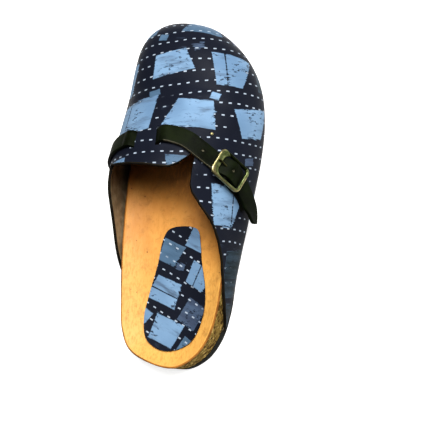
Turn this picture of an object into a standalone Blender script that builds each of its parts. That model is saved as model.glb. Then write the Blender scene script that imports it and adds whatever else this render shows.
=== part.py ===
"""A right-foot cork clog: closed toe, open heel, and one instep strap with a buckle.

Sizes and tables are in millimetres, and MM turns them into metres when a mesh is made.
The shoe's own frame: x grows to the outer side of the foot, s runs from the back of the
heel to the toe, z is the height over the floor.

The girth of a section is one number: -1 at the outer feather edge (where the upper meets
the sole), 0 at the outer side's widest point, 1 on the ridge, 2 at the inner side's widest
point and 3 at the inner feather edge.
"""

import math

import bmesh
import bpy
import numpy as np
from mathutils import Vector

MM = 0.001
OUTER, INNER = 1, -1

# Driving sizes
HEEL_CENTRE_S = 45.0
TOE_CENTRE_S = 215.0
UPPER_WALL = 2.0
PIECE_GAP = 0.3
UPPER_TO_CORK = 0.55
INSOLE_THICK = 2.0
INLAY_THICK = 1.3
STRAP_WIDTH = 13.0
STRAP_THICK = 2.2
TAB_WIDTH = 13.4
TAB_THICK = 1.0
BAR_RADIUS = 0.9
BAR_HEIGHT = 3.9
BAR_CLEAR = 0.2
BUCKLE_LENGTH = 27.0
BUCKLE_WIDTH = 20.4
BUCKLE_THICK = 2.4
BUCKLE_HEIGHT = 5.6
BUCKLE_RAIL = 2.4
BUCKLE_PLATE = 5.0
BUCKLE_CORNER = 4.2
BUCKLE_EASE = 0.6
PRONG_RADIUS = 0.7


def table(columns, *rows):
    """Rows of numbers as named columns."""
    return dict(zip(columns.split(), np.array(rows, float).T))


# Outline of the cork seen from above, from the back of the heel round the outer side
SOLE_OUTLINE = table(
    "x s",
    (2, 1.0), (20.2, 7.7), (31.8, 22.7), (37.5, 42), (40.0, 62), (43.2, 84), (46.6, 106),
    (50.4, 130), (53.4, 152), (54.9, 176), (52.8, 200), (46.6, 219), (35.6, 235.5),
    (19, 248.8), (-4, 254.6), (-21.5, 251), (-32.6, 239), (-38, 221), (-40.6, 200),
    (-42.2, 172), (-42, 140), (-41, 110), (-40, 80), (-38.6, 50), (-35.7, 26), (-25.4, 9.8),
)

# Outsole: height of its underside, height of its top, and its reach beyond the cork
OUTSOLE = table(
    "s lift deck reach",
    (0, 0, 9.5, 0.2), (50, 0, 9.5, 0.2), (75, 0, 9.0, -0.4), (105, 1.6, 8.0, -1.0),
    (135, 0, 6.8, -1.0), (160, 0, 6.0, -1.0), (195, 0, 5.6, -1.0), (215, 0.9, 6.3, -1.0),
    (235, 3.6, 8.8, -1.0), (250, 6.6, 11.6, -1.0), (262, 9.4, 14.2, -1.0),
)
OUTSOLE_EDGE = 1.4

# Footbed: height of the insole along the middle and along its two rims
FOOTBED = table(
    "s seat inner_rim outer_rim",
    (0, 19.5, 28.5, 28.5), (45, 19.5, 28.5, 28.5), (75, 20.5, 29.5, 28.0),
    (110, 20.5, 28.2, 24.5), (140, 18.0, 24.6, 21.5), (170, 16.2, 21.0, 20.5),
    (200, 15.6, 20.5, 20.0), (215, 16.2, 21.0, 21.0), (240, 18.5, 24.0, 24.0),
    (262, 24.0, 28.0, 28.0),
)
FOOTBED_BOWL = 3.0
FOOTBED_RINGS = (0, 0.34, 0.6, 0.78, 0.9, 0.97, 1)
RIM_ROUND = 0.9

# Raised places of the footbed: the pad behind the toes and the bar under them
FOOTBED_BUMPS = table("x s height across along", (4, 150, 2.2, 17, 13), (2, 211, 1.6, 38, 7))

# Printed pad on the heel of the insole, seen from above
INLAY_OUTLINE = table(
    "x s",
    (6.6, 101.8), (16.6, 99.4), (19.6, 90), (21.6, 76), (25.6, 57), (25.2, 38), (17.2, 20),
    (-0.9, 13.2), (-16.6, 20.4), (-20.4, 36), (-17.6, 53), (-12.4, 74), (-9.8, 91), (-5.0, 99.8),
)
INLAY_CENTRE = (2.6, 52.0)
INLAY_RINGS = (0, 0.3, 0.55, 0.8, 1)
INLAY_GAP = 0.45

# Upper: how far its widest line stands outside the cork
BULGE = table(
    "s inner outer",
    (38, 3.2, 3.4), (75, 3.2, 4.6), (110, 3.5, 5.2), (128, 5.2, 5.3), (142, 6.2, 5.4),
    (172, 4.4, 5.6), (202, 3.5, 5.1), (235, 3.0, 4.0), (262, 3.0, 3.2),
)
BULGE_BLEND = 25.0
WIDEST_OVER_DECK = 7.4

# Upper: the ridge line and how square each shoulder is
SECTIONS = table(
    "s ridge_x ridge_z inner_shoulder outer_shoulder",
    (38, -3, 84.0, 2.6, 1.75), (110, -3, 80.0, 2.6, 1.70), (135, -3, 75.5, 2.5, 1.68),
    (150, -3, 70.8, 2.4, 1.74), (170, -3.5, 63.2, 2.3, 1.9), (190, -5, 55.8, 2.25, 2.1),
    (205, -6.5, 51.6, 2.25, 2.2), (215, -7, 50.6, 2.25, 2.25),
)

# Edge of the upper: up the outer quarter, the slit, the throat, and down the inner quarter
EDGE = table(
    "girth s",
    (-1, 28), (-0.5, 31.5), (0, 37.2), (0.045, 41), (0.108, 50.5), (0.153, 60.1), (0.192, 66.7),
    (0.221, 73.9), (0.292, 86.3), (0.365, 96.9), (0.409, 101.4), (0.484, 108.1), (0.569, 117.3),
    (0.594, 122.5), (0.603, 131), (0.608, 139), (0.618, 157), (0.637, 145.2), (0.662, 141.9),
    (0.711, 137.1), (0.769, 134.3), (0.854, 134.3), (0.949, 135.6), (1, 136), (1.112, 137.1),
    (1.35, 138.3), (1.44, 139.2), (1.49, 138.4), (1.535, 132.0), (1.60, 126.0), (1.695, 117),
    (1.838, 95.7), (1.918, 79.3), (1.96, 72), (2, 66), (2.5, 57), (3, 50),
)
GIRTH_ROWS = (
    -1, -0.66, -0.33, 0, 0.07, 0.148, 0.25, 0.33, 0.409, 0.484, 0.525, 0.569, 0.594, 0.608,
    0.618, 0.637, 0.675, 0.74, 0.82, 0.91, 1,
)
SIDE_COLUMNS = 18
TOE_COLUMNS = 16

# Strap: where it runs on the upper, and the height of its underside over the leather
UNDER_FLAP = -(UPPER_WALL + 0.5 + STRAP_THICK)
STRAP_ROUTE = table(
    "girth s lift",
    (2.86, 141.0, 0.4), (2.4, 143.0, 0.4), (2.0, 145.5, 0.4), (1.6, 149.8, 0.4), (1.38, 153.2, 0.4),
    (1.25, 155.0, 0.4), (1.18, 155.7, 0.7), (1.105, 156.2, UNDER_FLAP), (1.04, 156.8, UNDER_FLAP),
    (0.95, 157.2, UNDER_FLAP), (0.875, 157.6, 0.8), (0.80, 157.2, 0.5), (0.70, 154.2, 0.6),
    (0.593, 148.0, 0.9), (0.502, 142.6, 1.1), (0.437, 138.8, 3.0), (0.371, 135.5, 6.7),
    (0.311, 132.2, 4.6), (0.254, 128.9, 2.05), (0.158, 120.8, 2.2), (0.099, 112.6, 4.5),
    (0.083, 104.2, 6.6),
)
STRAP_STEPS = 84
BUCKLE_ROW = 16
SLOT_1_ROWS = (5.6, 7.25)
SLOT_2_ROWS = (8.75, 10.4)
SLOT_CLEAR_ACROSS = 1.0
SLOT_CLEAR_THICK = 0.35

# Tab that holds the buckle: from its stitched end behind the strap's tail up to the buckle's bar
TAB_ROUTE = table(
    "girth s lift",
    (0.106, 114.2, 0.5), (0.14, 118.6, 0.5), (0.18, 122.4, 0.6), (0.235, 126.6, 0.6),
    (0.30, 130.2, 0.7),
)
TAB_STEPS = 16
TAB_CURL_STEPS = 12
TAB_CURL_END = math.radians(40)

# Prong in the buckle's own frame: along the strap towards its tip, and up from the upper
PRONG_REACH = table("along up", (-3.0, 6.4), (-6.5, 7.1), (-10.5, 7.8), (-12.6, 7.8))
PRONG_SIDES = 8
PRONG_HOOK = np.radians(np.linspace(-130, 90, 12))
BAR_SIDES = 12
PRONG_HOLE = table("along across up", (-8.5, -1.5, 1.5), (-0.2, 1.5, 9.5))
PRONG_GAP = table("along across up", (-4.5, -1.4, -1.5), (3.4, 1.4, 7.5))


# Curves


def smooth(x, knots, values):
    """Monotone cubic through the knots, held level beyond both ends."""
    x = np.clip(x, knots[0], knots[-1])
    width = np.diff(knots)
    slope = np.diff(values) / width
    same_way = slope[:-1] * slope[1:] > 0
    total = np.where(same_way, slope[:-1] + slope[1:], 1.0)
    inner = np.where(same_way, 2 * slope[:-1] * slope[1:] / total, 0.0)
    tangent = np.concatenate([slope[:1], inner, slope[-1:]])
    i = np.clip(np.searchsorted(knots, x, side="right") - 1, 0, len(knots) - 2)
    t = (x - knots[i]) / width[i]
    rise = values[i + 1] - values[i]
    bend_in = width[i] * tangent[i] - rise
    bend_out = rise - width[i] * tangent[i + 1]
    return values[i] + t * rise + t * (1 - t) * (bend_in * (1 - t) + bend_out * t)


def column(tab, name, s):
    """A column of a table at station s."""
    return smooth(np.asarray(s, float), tab["s"], tab[name])


def catmull_rom(points, t):
    """Points on the smooth open curve through points, at row positions t."""
    padded = np.vstack([2 * points[0] - points[1], points, 2 * points[-1] - points[-2]])
    i = np.clip(np.floor(t).astype(int), 0, len(points) - 2)
    f = (t - i)[:, None]
    a, b, c, d = (padded[i + k] for k in range(4))
    return b + 0.5 * f * (c - a + f * (2 * a - 5 * b + 4 * c - d + f * (3 * (b - c) + d - a)))


def closed_curve(tab, steps=14):
    """Dense closed outline through the points of a table."""
    points = np.stack([tab["x"], tab["s"]], axis=1)
    ring = np.vstack([points[-2:], points, points[:3]])
    t = 2 + np.arange(len(points) * steps) / steps
    return catmull_rom(ring, t)


def pushed_out(outline, distance):
    """The outline moved outwards by a distance for each of its points."""
    along = np.roll(outline, -1, axis=0) - np.roll(outline, 1, axis=0)
    along /= np.linalg.norm(along, axis=1)[:, None]
    out = np.stack([along[:, 1], -along[:, 0]], axis=1)
    return outline + out * np.asarray(distance).reshape(-1, 1)


def reach(outline, centre, direction):
    """Where a ray from centre meets the closed outline."""
    start = outline - centre
    end = np.roll(start, -1, axis=0)
    turn = np.array([-direction[1], direction[0]])
    before, after = start @ turn, end @ turn
    share = before / np.where(before == after, 1.0, before - after)
    hit = start + share[:, None] * (end - start)
    ahead = (before * after <= 0) & (before != after) & (hit @ direction > 0)
    return centre + hit[np.flatnonzero(ahead)[0]]


SOLE = closed_curve(SOLE_OUTLINE)


def sole_outline(tab, name):
    """The cork's outline pushed out by a column of a table."""
    return pushed_out(SOLE, column(tab, name, SOLE[:, 1]))


def bulge_outline():
    """The upper's widest line, blended from the inner to the outer bulge round the toe."""
    inner, outer = (column(BULGE, name, SOLE[:, 1]) for name in ("inner", "outer"))
    share = np.clip((SOLE[:, 0] / BULGE_BLEND + 1) / 2, 0, 1)
    return pushed_out(SOLE, inner + share * (outer - inner))


WIDEST = bulge_outline()
FEATHER = pushed_out(SOLE, np.full(len(SOLE), UPPER_TO_CORK + UPPER_WALL))


# Rays from the middle line of the sole out to its edge


def sole_middle(s):
    """x of the line midway between the sole's two sides."""
    across = [reach(SOLE, np.array([0.0, s]), np.array([side, 0.0]))[0] for side in (1.0, -1.0)]
    return sum(across) / 2


def sole_rays(side_steps=17, heel_steps=14, toe_steps=14):
    """Centre and direction of each ray, round the sole from the outer heel."""
    stations = np.linspace(HEEL_CENTRE_S, TOE_CENTRE_S, side_steps + 1)
    middles = [np.array([sole_middle(s), s]) for s in stations]
    rays = [(m, np.array([1.0, 0.0])) for m in middles]
    for k in range(1, toe_steps):
        angle = math.pi * k / toe_steps
        rays.append((middles[-1], np.array([math.cos(angle), math.sin(angle)])))
    rays += [(m, np.array([-1.0, 0.0])) for m in reversed(middles)]
    for k in range(1, heel_steps):
        angle = math.pi * (1 + k / heel_steps)
        rays.append((middles[0], np.array([math.cos(angle), math.sin(angle)])))
    return rays


RAYS = sole_rays()


def ring(outline, share):
    """Plan points at a share of the way along each ray."""
    return np.array([c + share * (reach(outline, c, d) - c) for c, d in RAYS])


def with_height(plan, z):
    """Plan points at a height."""
    return np.column_stack([plan, np.broadcast_to(z, len(plan))])


def footbed_height(plan, share):
    """Height of the insole's top at a ring of plan points."""
    centre_s = np.array([c[1] for c, _ in RAYS])
    inner, outer = (column(FOOTBED, name, plan[:, 1]) for name in ("inner_rim", "outer_rim"))
    turn = np.array([d[0] for _, d in RAYS])
    rim = inner + (outer - inner) * (turn + 1) / 2
    seat = column(FOOTBED, "seat", centre_s)
    return seat + (rim - seat) * share**FOOTBED_BOWL + bumps(plan[:, 0], plan[:, 1])


def bumps(x, s):
    """Height of the footbed's raised places."""
    height = 0.0
    for x0, s0, top, across, along in zip(*FOOTBED_BUMPS.values()):
        height = height + top * np.exp(-(((x - x0) / across) ** 2) - ((s - s0) / along) ** 2)
    return height


# Upper


def girth_point(centre, widest, feather, heights, shoulder, girth):
    """A point of one rib of the upper. girth is -1 at the feather edge, 0 widest, 1 on the ridge."""
    ridge_z, widest_z, feather_z = heights
    angle = abs(girth) * math.pi / 2
    if girth >= 0:
        out = max(math.cos(angle), 0.0) ** (2 / shoulder)
        up = math.sin(angle) ** (2 / shoulder)
        plan = centre + out * (widest - centre)
        return np.array([*plan, widest_z + up * (ridge_z - widest_z)])
    plan = widest + (1 - math.cos(angle)) * (feather - widest)
    return np.array([*plan, widest_z + math.sin(angle) * (feather_z - widest_z)])


def rib_heights(centre_s, edge_s):
    """Heights of a rib's ridge, widest point and feather edge."""
    deck = column(OUTSOLE, "deck", edge_s)
    return column(SECTIONS, "ridge_z", centre_s), deck + WIDEST_OVER_DECK, deck + PIECE_GAP


def wall_point(s, girth):
    """A point of the upper's outer surface on the section at s, girth from -1 to 3."""
    side = OUTER if girth <= 1 else INNER
    centre = np.array([float(column(SECTIONS, "ridge_x", s)), s])
    direction = np.array([float(side), 0.0])
    name = "outer_shoulder" if side == OUTER else "inner_shoulder"
    ends = [reach(outline, centre, direction) for outline in (WIDEST, FEATHER)]
    shoulder = float(column(SECTIONS, name, s))
    own_girth = girth if side == OUTER else 2 - girth
    return girth_point(centre, *ends, rib_heights(s, s), shoulder, own_girth)


def toe_point(angle, girth):
    """A point of the toe box, where the ribs fan out from the end of the ridge."""
    centre = np.array([float(column(SECTIONS, "ridge_x", TOE_CENTRE_S)), TOE_CENTRE_S])
    direction = np.array([math.cos(angle), math.sin(angle)])
    ends = [reach(outline, centre, direction) for outline in (WIDEST, FEATHER)]
    shoulder = float(column(SECTIONS, "outer_shoulder", TOE_CENTRE_S))
    return girth_point(centre, *ends, rib_heights(TOE_CENTRE_S, ends[0][1]), shoulder, girth)


def upper_rows():
    """Rows of the upper's outer surface, each from the outer edge round the toe to the inner edge."""
    rows = []
    for girth in GIRTH_ROWS:
        outer_s, inner_s = np.interp((girth, 2 - girth), EDGE["girth"], EDGE["s"])
        row = [wall_point(s, girth) for s in np.linspace(outer_s, TOE_CENTRE_S, SIDE_COLUMNS + 1)]
        row += [toe_point(math.pi * k / TOE_COLUMNS, girth) for k in range(1, TOE_COLUMNS)]
        row += [wall_point(s, 2 - girth) for s in np.linspace(TOE_CENTRE_S, inner_s, SIDE_COLUMNS + 1)]
        rows.append(np.array(row))
    return rows


# Ribbons on the upper


def lifted_point(girth, s, lift):
    """A point over the upper's outer surface, with the surface's outward direction."""
    step = 0.02
    around = wall_point(s, girth + step) - wall_point(s, girth - step)
    ahead = wall_point(s + 1.0, girth) - wall_point(s - 1.0, girth)
    out = np.cross(ahead, around)
    out /= np.linalg.norm(out)
    return wall_point(s, girth) + lift * out, out


def ribbon_frames(route, first, last, steps):
    """Points and outward directions along a route table, from row first to row last."""
    rows = np.stack([route["girth"], route["s"], route["lift"]], axis=1)
    t = np.linspace(first, last, steps + 1)
    frames = [lifted_point(*row) for row in catmull_rom(rows, t)]
    return np.array([p for p, _ in frames]), np.array([n for _, n in frames])


def ribbon_rings(points, outs, width, thick, clear_across=0.0, clear_thick=0.0):
    """Four-cornered cross-sections of a ribbon whose underside follows points."""
    along = np.gradient(points, axis=0)
    along /= np.linalg.norm(along, axis=1)[:, None]
    across = np.cross(along, outs)
    across /= np.linalg.norm(across, axis=1)[:, None]
    up = np.cross(across, along)
    half = width / 2 + clear_across
    low, high = -clear_thick, thick + clear_thick
    corners = ((-half, low), (half, low), (half, high), (-half, high))
    return [np.array([p + a * c + h * u for a, h in corners]) for p, c, u in zip(points, across, up)]


# Meshes


def new_object(name, bm, material):
    """Closes the bmesh into an object in metres."""
    bmesh.ops.remove_doubles(bm, verts=bm.verts, dist=1e-4)
    bmesh.ops.triangulate(bm, faces=bm.faces, quad_method="SHORT_EDGE")
    bmesh.ops.recalc_face_normals(bm, faces=bm.faces)
    bmesh.ops.scale(bm, vec=(MM, MM, MM), verts=bm.verts)
    mesh = bpy.data.meshes.new(name)
    bm.to_mesh(mesh)
    bm.free()
    mesh.shade_smooth()
    mesh.set_sharp_from_angle(angle=math.radians(35))
    obj = bpy.data.objects.new(name, mesh)
    bpy.context.scene.collection.objects.link(obj)
    if material:
        mesh.materials.append(material)
    return obj


def bridge_rings(bm, rings, closed):
    """Quads between each ring of points and the next."""
    made = [[bm.verts.new(p) for p in points] for points in rings]
    for low, high in zip(made, made[1:]):
        count = len(low)
        for k in range(count if closed else count - 1):
            n = (k + 1) % count
            bm.faces.new((low[k], low[n], high[n], high[k]))
    return made


def ring_solid(name, rings, material):
    """Solid whose first and last rings close on the sole's middle line."""
    bm = bmesh.new()
    bridge_rings(bm, rings, closed=True)
    return new_object(name, bm, material)


def ribbon_solid(name, rings, material):
    """Solid of a ribbon's cross-sections, with flat ends."""
    bm = bmesh.new()
    made = bridge_rings(bm, rings, closed=True)
    bm.faces.new(made[0])
    bm.faces.new(made[-1])
    return new_object(name, bm, material)


def material(name, colour, roughness, metallic=0.0):
    """A plain surface of one colour."""
    made = bpy.data.materials.new(name)
    made.use_nodes = True
    shader = made.node_tree.nodes["Principled BSDF"]
    shader.inputs["Base Color"].default_value = (*colour, 1.0)
    shader.inputs["Roughness"].default_value = roughness
    shader.inputs["Metallic"].default_value = metallic
    return made


def cut(obj, cutter):
    """Takes the cutter's form out of an object."""
    cutter.hide_render = True
    cutter.display_type = "WIRE"
    boolean = obj.modifiers.new("cut_" + cutter.name, "BOOLEAN")
    boolean.operation = "DIFFERENCE"
    boolean.object = cutter


# Pieces


def make_outsole():
    """Black outsole with a raised arch, a toe spring and an eased lower edge."""
    outline = sole_outline(OUTSOLE, "reach")
    inset = pushed_out(outline, np.full(len(outline), -OUTSOLE_EDGE))
    rings = []
    for share in (0, 0.5, 1):
        plan = ring(inset, share)
        rings.append(with_height(plan, column(OUTSOLE, "lift", plan[:, 1])))
    edge = ring(outline, 1)
    rings.append(with_height(edge, column(OUTSOLE, "lift", edge[:, 1]) + OUTSOLE_EDGE))
    for share in (1, 0.7, 0.35, 0):
        plan = ring(outline, share)
        rings.append(with_height(plan, column(OUTSOLE, "deck", plan[:, 1])))
    return ring_solid("outsole", rings, material("outsole_foam", (0.012, 0.013, 0.012), 0.75))


def footbed_layer(share, drop):
    """Ring of the footbed's form, a drop below the insole's top."""
    plan = ring(SOLE, share)
    return with_height(plan, footbed_height(plan, share) - drop)


def make_cork():
    """Cork body between the outsole and the insole."""
    rings = []
    for share in (0, 0.35, 0.7, 1):
        plan = ring(SOLE, share)
        rings.append(with_height(plan, column(OUTSOLE, "deck", plan[:, 1]) + PIECE_GAP))
    rings += [footbed_layer(share, INSOLE_THICK + PIECE_GAP) for share in reversed(FOOTBED_RINGS)]
    return ring_solid("cork_footbed", rings, material("cork", (0.32, 0.19, 0.075), 0.85))


def make_insole():
    """Leather cover of the footbed, rounded over at its rim."""
    rings = [footbed_layer(share, INSOLE_THICK) for share in FOOTBED_RINGS]
    rings.append(footbed_layer(1, RIM_ROUND))
    rings += [footbed_layer(share, 0) for share in reversed(FOOTBED_RINGS[:-1])]
    return ring_solid("insole", rings, material("insole_leather", (0.75, 0.40, 0.13), 0.55))


def footbed_height_at(x, s):
    """Height of the insole's top at one plan point behind the toes."""
    middle = np.array([sole_middle(max(s, HEEL_CENTRE_S)), max(s, HEEL_CENTRE_S)])
    offset = np.array([x, s]) - middle
    length = np.linalg.norm(offset)
    direction = offset / length if length > 1e-6 else np.array([1.0, 0.0])
    edge = reach(SOLE, middle, direction)
    share = length / np.linalg.norm(edge - middle)
    inner, outer = (float(column(FOOTBED, name, edge[1])) for name in ("inner_rim", "outer_rim"))
    rim = inner + (outer - inner) * (direction[0] + 1) / 2
    seat = float(column(FOOTBED, "seat", middle[1]))
    return seat + (rim - seat) * share**FOOTBED_BOWL + float(bumps(x, s))


def make_inlay():
    """Printed pad that lies on the heel of the insole."""
    outline = closed_curve(INLAY_OUTLINE, steps=3)
    centre = np.array(INLAY_CENTRE)
    rings = []
    for height, shares in ((INLAY_GAP, INLAY_RINGS), (INLAY_GAP + INLAY_THICK, INLAY_RINGS[::-1])):
        for share in shares:
            plan = centre + share * (outline - centre)
            top = np.array([footbed_height_at(*p) for p in plan])
            rings.append(with_height(plan, top + height))
    return ring_solid("heel_inlay", rings, material("inlay_leather", (0.10, 0.15, 0.26), 0.45))


def make_upper():
    """Leather upper: vamp and both quarters in one wall, slotted for the strap."""
    bm = bmesh.new()
    bridge_rings(bm, upper_rows(), closed=False)
    upper = new_object("upper", bm, material("printed_leather", (0.10, 0.15, 0.26), 0.45))
    wall = upper.modifiers.new("wall", "SOLIDIFY")
    wall.thickness = UPPER_WALL * MM
    wall.offset = -1
    wall.use_even_offset = True
    for number, rows in enumerate((SLOT_1_ROWS, SLOT_2_ROWS), start=1):
        frames = ribbon_frames(STRAP_ROUTE, *rows, 8)
        rings = ribbon_rings(*frames, STRAP_WIDTH, STRAP_THICK, SLOT_CLEAR_ACROSS, SLOT_CLEAR_THICK)
        cut(upper, ribbon_solid(f"slot_{number}_cutter", rings, None))
    return upper


def make_strap(leather):
    """Instep strap, from the inner side through the flap's two slots to its free tip."""
    frames = ribbon_frames(STRAP_ROUTE, 0, len(STRAP_ROUTE["s"]) - 1, STRAP_STEPS)
    strap = ribbon_solid("strap", ribbon_rings(*frames, STRAP_WIDTH, STRAP_THICK), leather)
    cut(strap, box_cutter("prong_hole_cutter", PRONG_HOLE))
    return strap


def buckle_seat():
    """Place of the buckle on the upper: its point, and the along, across and up directions."""
    girth, s = (STRAP_ROUTE[name][BUCKLE_ROW] for name in ("girth", "s"))
    point, up = lifted_point(girth, s, 0.0)
    ends = [lifted_point(STRAP_ROUTE["girth"][k], STRAP_ROUTE["s"][k], 0.0)[0]
            for k in (BUCKLE_ROW - 1, BUCKLE_ROW + 1)]
    along = ends[1] - ends[0]
    along -= up * (along @ up)
    along /= np.linalg.norm(along)
    return point, np.stack([along, np.cross(up, along), up])


SEAT_POINT, SEAT_AXES = buckle_seat()


def seated(points):
    """Points of the buckle's own frame, moved to its place on the upper."""
    return SEAT_POINT + np.asarray(points, float) @ SEAT_AXES


def box_cutter(name, corners):
    """Box between two corners in the buckle's own frame."""
    low, high = (np.array([corners[c][k] for c in ("along", "across", "up")]) for k in (0, 1))
    rings = []
    for along in (low[0], high[0]):
        section = ((low[1], low[2]), (high[1], low[2]), (high[1], high[2]), (low[1], high[2]))
        rings.append(seated([(along, across, up) for across, up in section]))
    return ribbon_solid(name, rings, None)


def rounded_rectangle(low, high, half_width, radius, corner_steps=5):
    """Outline between two lengths, as points along and across."""
    points = []
    centres = ((high, half_width), (low, half_width), (low, -half_width), (high, -half_width))
    for k, (along, across) in enumerate(centres):
        middle = (along - math.copysign(radius, along - (low + high) / 2),
                  across - math.copysign(radius, across))
        for step in range(corner_steps + 1):
            angle = math.pi / 2 * (k + step / corner_steps)
            points.append((middle[0] + radius * math.cos(angle), middle[1] + radius * math.sin(angle)))
    return np.array(points)


def make_buckle(brass):
    """Buckle frame: a broad plate towards the instep, thin rails and a bar under the strap."""
    half = BUCKLE_LENGTH / 2
    outer = rounded_rectangle(-half, half, BUCKLE_WIDTH / 2, BUCKLE_CORNER)
    inner = rounded_rectangle(
        BUCKLE_PLATE - half, half - BUCKLE_RAIL, BUCKLE_WIDTH / 2 - BUCKLE_RAIL, BUCKLE_CORNER - BUCKLE_RAIL
    )
    low, high = BUCKLE_HEIGHT - BUCKLE_THICK / 2, BUCKLE_HEIGHT + BUCKLE_THICK / 2
    section = (
        (0, low + BUCKLE_EASE), (0, high - BUCKLE_EASE), (0.2, high), (0.8, high),
        (1, high - BUCKLE_EASE), (1, low + BUCKLE_EASE), (0.8, low), (0.2, low),
    )
    rings = [seated(with_height(outer + share * (inner - outer), up)) for share, up in section]
    bm = bmesh.new()
    bridge_rings(bm, rings + rings[:1], closed=True)
    frame = new_object("buckle_frame", bm, brass)
    reach_out = BUCKLE_WIDTH / 2 - BUCKLE_RAIL / 2
    turn = 2 * math.pi * np.arange(BAR_SIDES) / BAR_SIDES
    round_bar = np.column_stack([np.cos(turn), np.zeros(BAR_SIDES), np.sin(turn)]) * BAR_RADIUS
    rings = [seated(round_bar + (0, across, BAR_HEIGHT)) for across in (-reach_out, reach_out)]
    bar = ribbon_solid("buckle_bar_form", rings, None)
    join(frame, bar)
    return frame


def make_prong(brass):
    """Prong hooked round the bar and lying through the strap onto the plate."""
    hook = BAR_RADIUS + BAR_CLEAR + PRONG_RADIUS
    curl = np.column_stack([hook * np.cos(PRONG_HOOK), BAR_HEIGHT + hook * np.sin(PRONG_HOOK)])
    path = np.vstack([curl, np.column_stack([PRONG_REACH["along"], PRONG_REACH["up"]])])
    ahead = np.gradient(path, axis=0)
    ahead /= np.linalg.norm(ahead, axis=1)[:, None]
    turn = 2 * math.pi * np.arange(PRONG_SIDES) / PRONG_SIDES
    rings = []
    swing, across = PRONG_RADIUS * np.cos(turn), PRONG_RADIUS * np.sin(turn)
    for (along, up), (da, du) in zip(path, ahead):
        rings.append(seated(np.column_stack([along - du * swing, across, up + da * swing])))
    return ribbon_solid("buckle_prong", rings, brass)


def make_tab(leather):
    """Tab from behind the strap's tail up to the buckle, curled round its bar."""
    points, outs = ribbon_frames(TAB_ROUTE, 0, len(TAB_ROUTE["s"]) - 1, TAB_STEPS)
    curl = BAR_RADIUS + BAR_CLEAR + TAB_THICK
    turn = np.linspace(-math.pi / 2, TAB_CURL_END - 2 * math.pi, TAB_CURL_STEPS)
    zero = np.zeros(TAB_CURL_STEPS)
    round_bar = np.column_stack([np.cos(turn), zero, np.sin(turn)])
    curl_points = seated(curl * round_bar + np.array([0.0, 0.0, BAR_HEIGHT]))
    points = np.vstack([points, curl_points])
    outs = np.vstack([outs, -round_bar @ SEAT_AXES])
    tab = ribbon_solid("buckle_tab", ribbon_rings(points, outs, TAB_WIDTH, TAB_THICK), leather)
    cut(tab, box_cutter("prong_gap_cutter", PRONG_GAP))
    return tab


def join(obj, form):
    """Adds a hidden form to an object."""
    form.hide_render = True
    form.display_type = "WIRE"
    boolean = obj.modifiers.new("join_" + form.name, "BOOLEAN")
    boolean.operation = "UNION"
    boolean.object = form


def clear_scene():
    """Removes whatever the scene holds."""
    for obj in list(bpy.data.objects):
        bpy.data.objects.remove(obj, do_unlink=True)


def stand_on_origin():
    """Moves all forms together, so that the shoe's box stands centred on the origin."""
    shown = [obj for obj in bpy.data.objects if not obj.hide_render]
    depsgraph = bpy.context.evaluated_depsgraph_get()
    corners = np.array([corner[:] for obj in shown for corner in obj.evaluated_get(depsgraph).bound_box])
    low, high = corners.min(axis=0), corners.max(axis=0)
    shift = Vector((-(low[0] + high[0]) / 2, -(low[1] + high[1]) / 2, -low[2]))
    for obj in bpy.data.objects:
        obj.location = shift


def main():
    """Makes each piece of the shoe."""
    clear_scene()
    make_outsole()
    make_cork()
    make_insole()
    make_inlay()
    make_upper()
    leather = material("strap_leather", (0.012, 0.013, 0.010), 0.4)
    brass = material("antique_brass", (0.20, 0.18, 0.09), 0.35, 1.0)
    make_strap(leather)
    make_tab(material("tab_leather", (0.014, 0.014, 0.012), 0.45))
    make_buckle(brass)
    make_prong(material("prong_brass", (0.16, 0.14, 0.07), 0.38, 1.0))
    stand_on_origin()


main()
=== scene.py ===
"""A right-foot cork clog: printed leather upper, buckled strap, cork footbed, foam outsole and heel pad."""

import logging
import math
from collections.abc import Sequence
from dataclasses import dataclass, field
from enum import Enum, IntEnum
from functools import cached_property

import bmesh
import bpy
import numpy as np
from mathutils import Matrix, Vector


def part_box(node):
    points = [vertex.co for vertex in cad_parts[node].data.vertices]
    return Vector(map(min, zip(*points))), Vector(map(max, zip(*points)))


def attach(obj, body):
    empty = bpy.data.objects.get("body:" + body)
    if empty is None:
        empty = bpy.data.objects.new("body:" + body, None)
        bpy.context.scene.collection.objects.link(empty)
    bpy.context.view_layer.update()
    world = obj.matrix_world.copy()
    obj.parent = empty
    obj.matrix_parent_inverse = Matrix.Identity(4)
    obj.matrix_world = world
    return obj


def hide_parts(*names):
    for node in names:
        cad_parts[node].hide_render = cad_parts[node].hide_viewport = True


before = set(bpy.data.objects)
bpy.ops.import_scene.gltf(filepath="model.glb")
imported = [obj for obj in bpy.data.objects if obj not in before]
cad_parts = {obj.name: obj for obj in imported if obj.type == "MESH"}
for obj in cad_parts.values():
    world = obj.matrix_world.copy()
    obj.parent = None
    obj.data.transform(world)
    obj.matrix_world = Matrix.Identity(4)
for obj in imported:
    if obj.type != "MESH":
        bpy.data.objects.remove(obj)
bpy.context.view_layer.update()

Array = np.ndarray
BMesh = bmesh.types.BMesh
Material = bpy.types.Material
NodeTree = bpy.types.NodeTree
Node = bpy.types.Node
Object = bpy.types.Object
Socket = bpy.types.NodeSocket
Sockets = dict[str, object]
Colour = tuple[float, float, float, float]
Tones = tuple[Colour, Colour]
Pair = tuple[float, float]
Triple = tuple[float, float, float]

LOG = logging.getLogger("cork_clog")
MM = 0.001
UV_NAME = "laid_flat"
TINY = 1e-9
WELD = 2e-6
SHARP_ANGLE = math.radians(40)
RAY_BLOCK = 1024


# Curves


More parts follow.
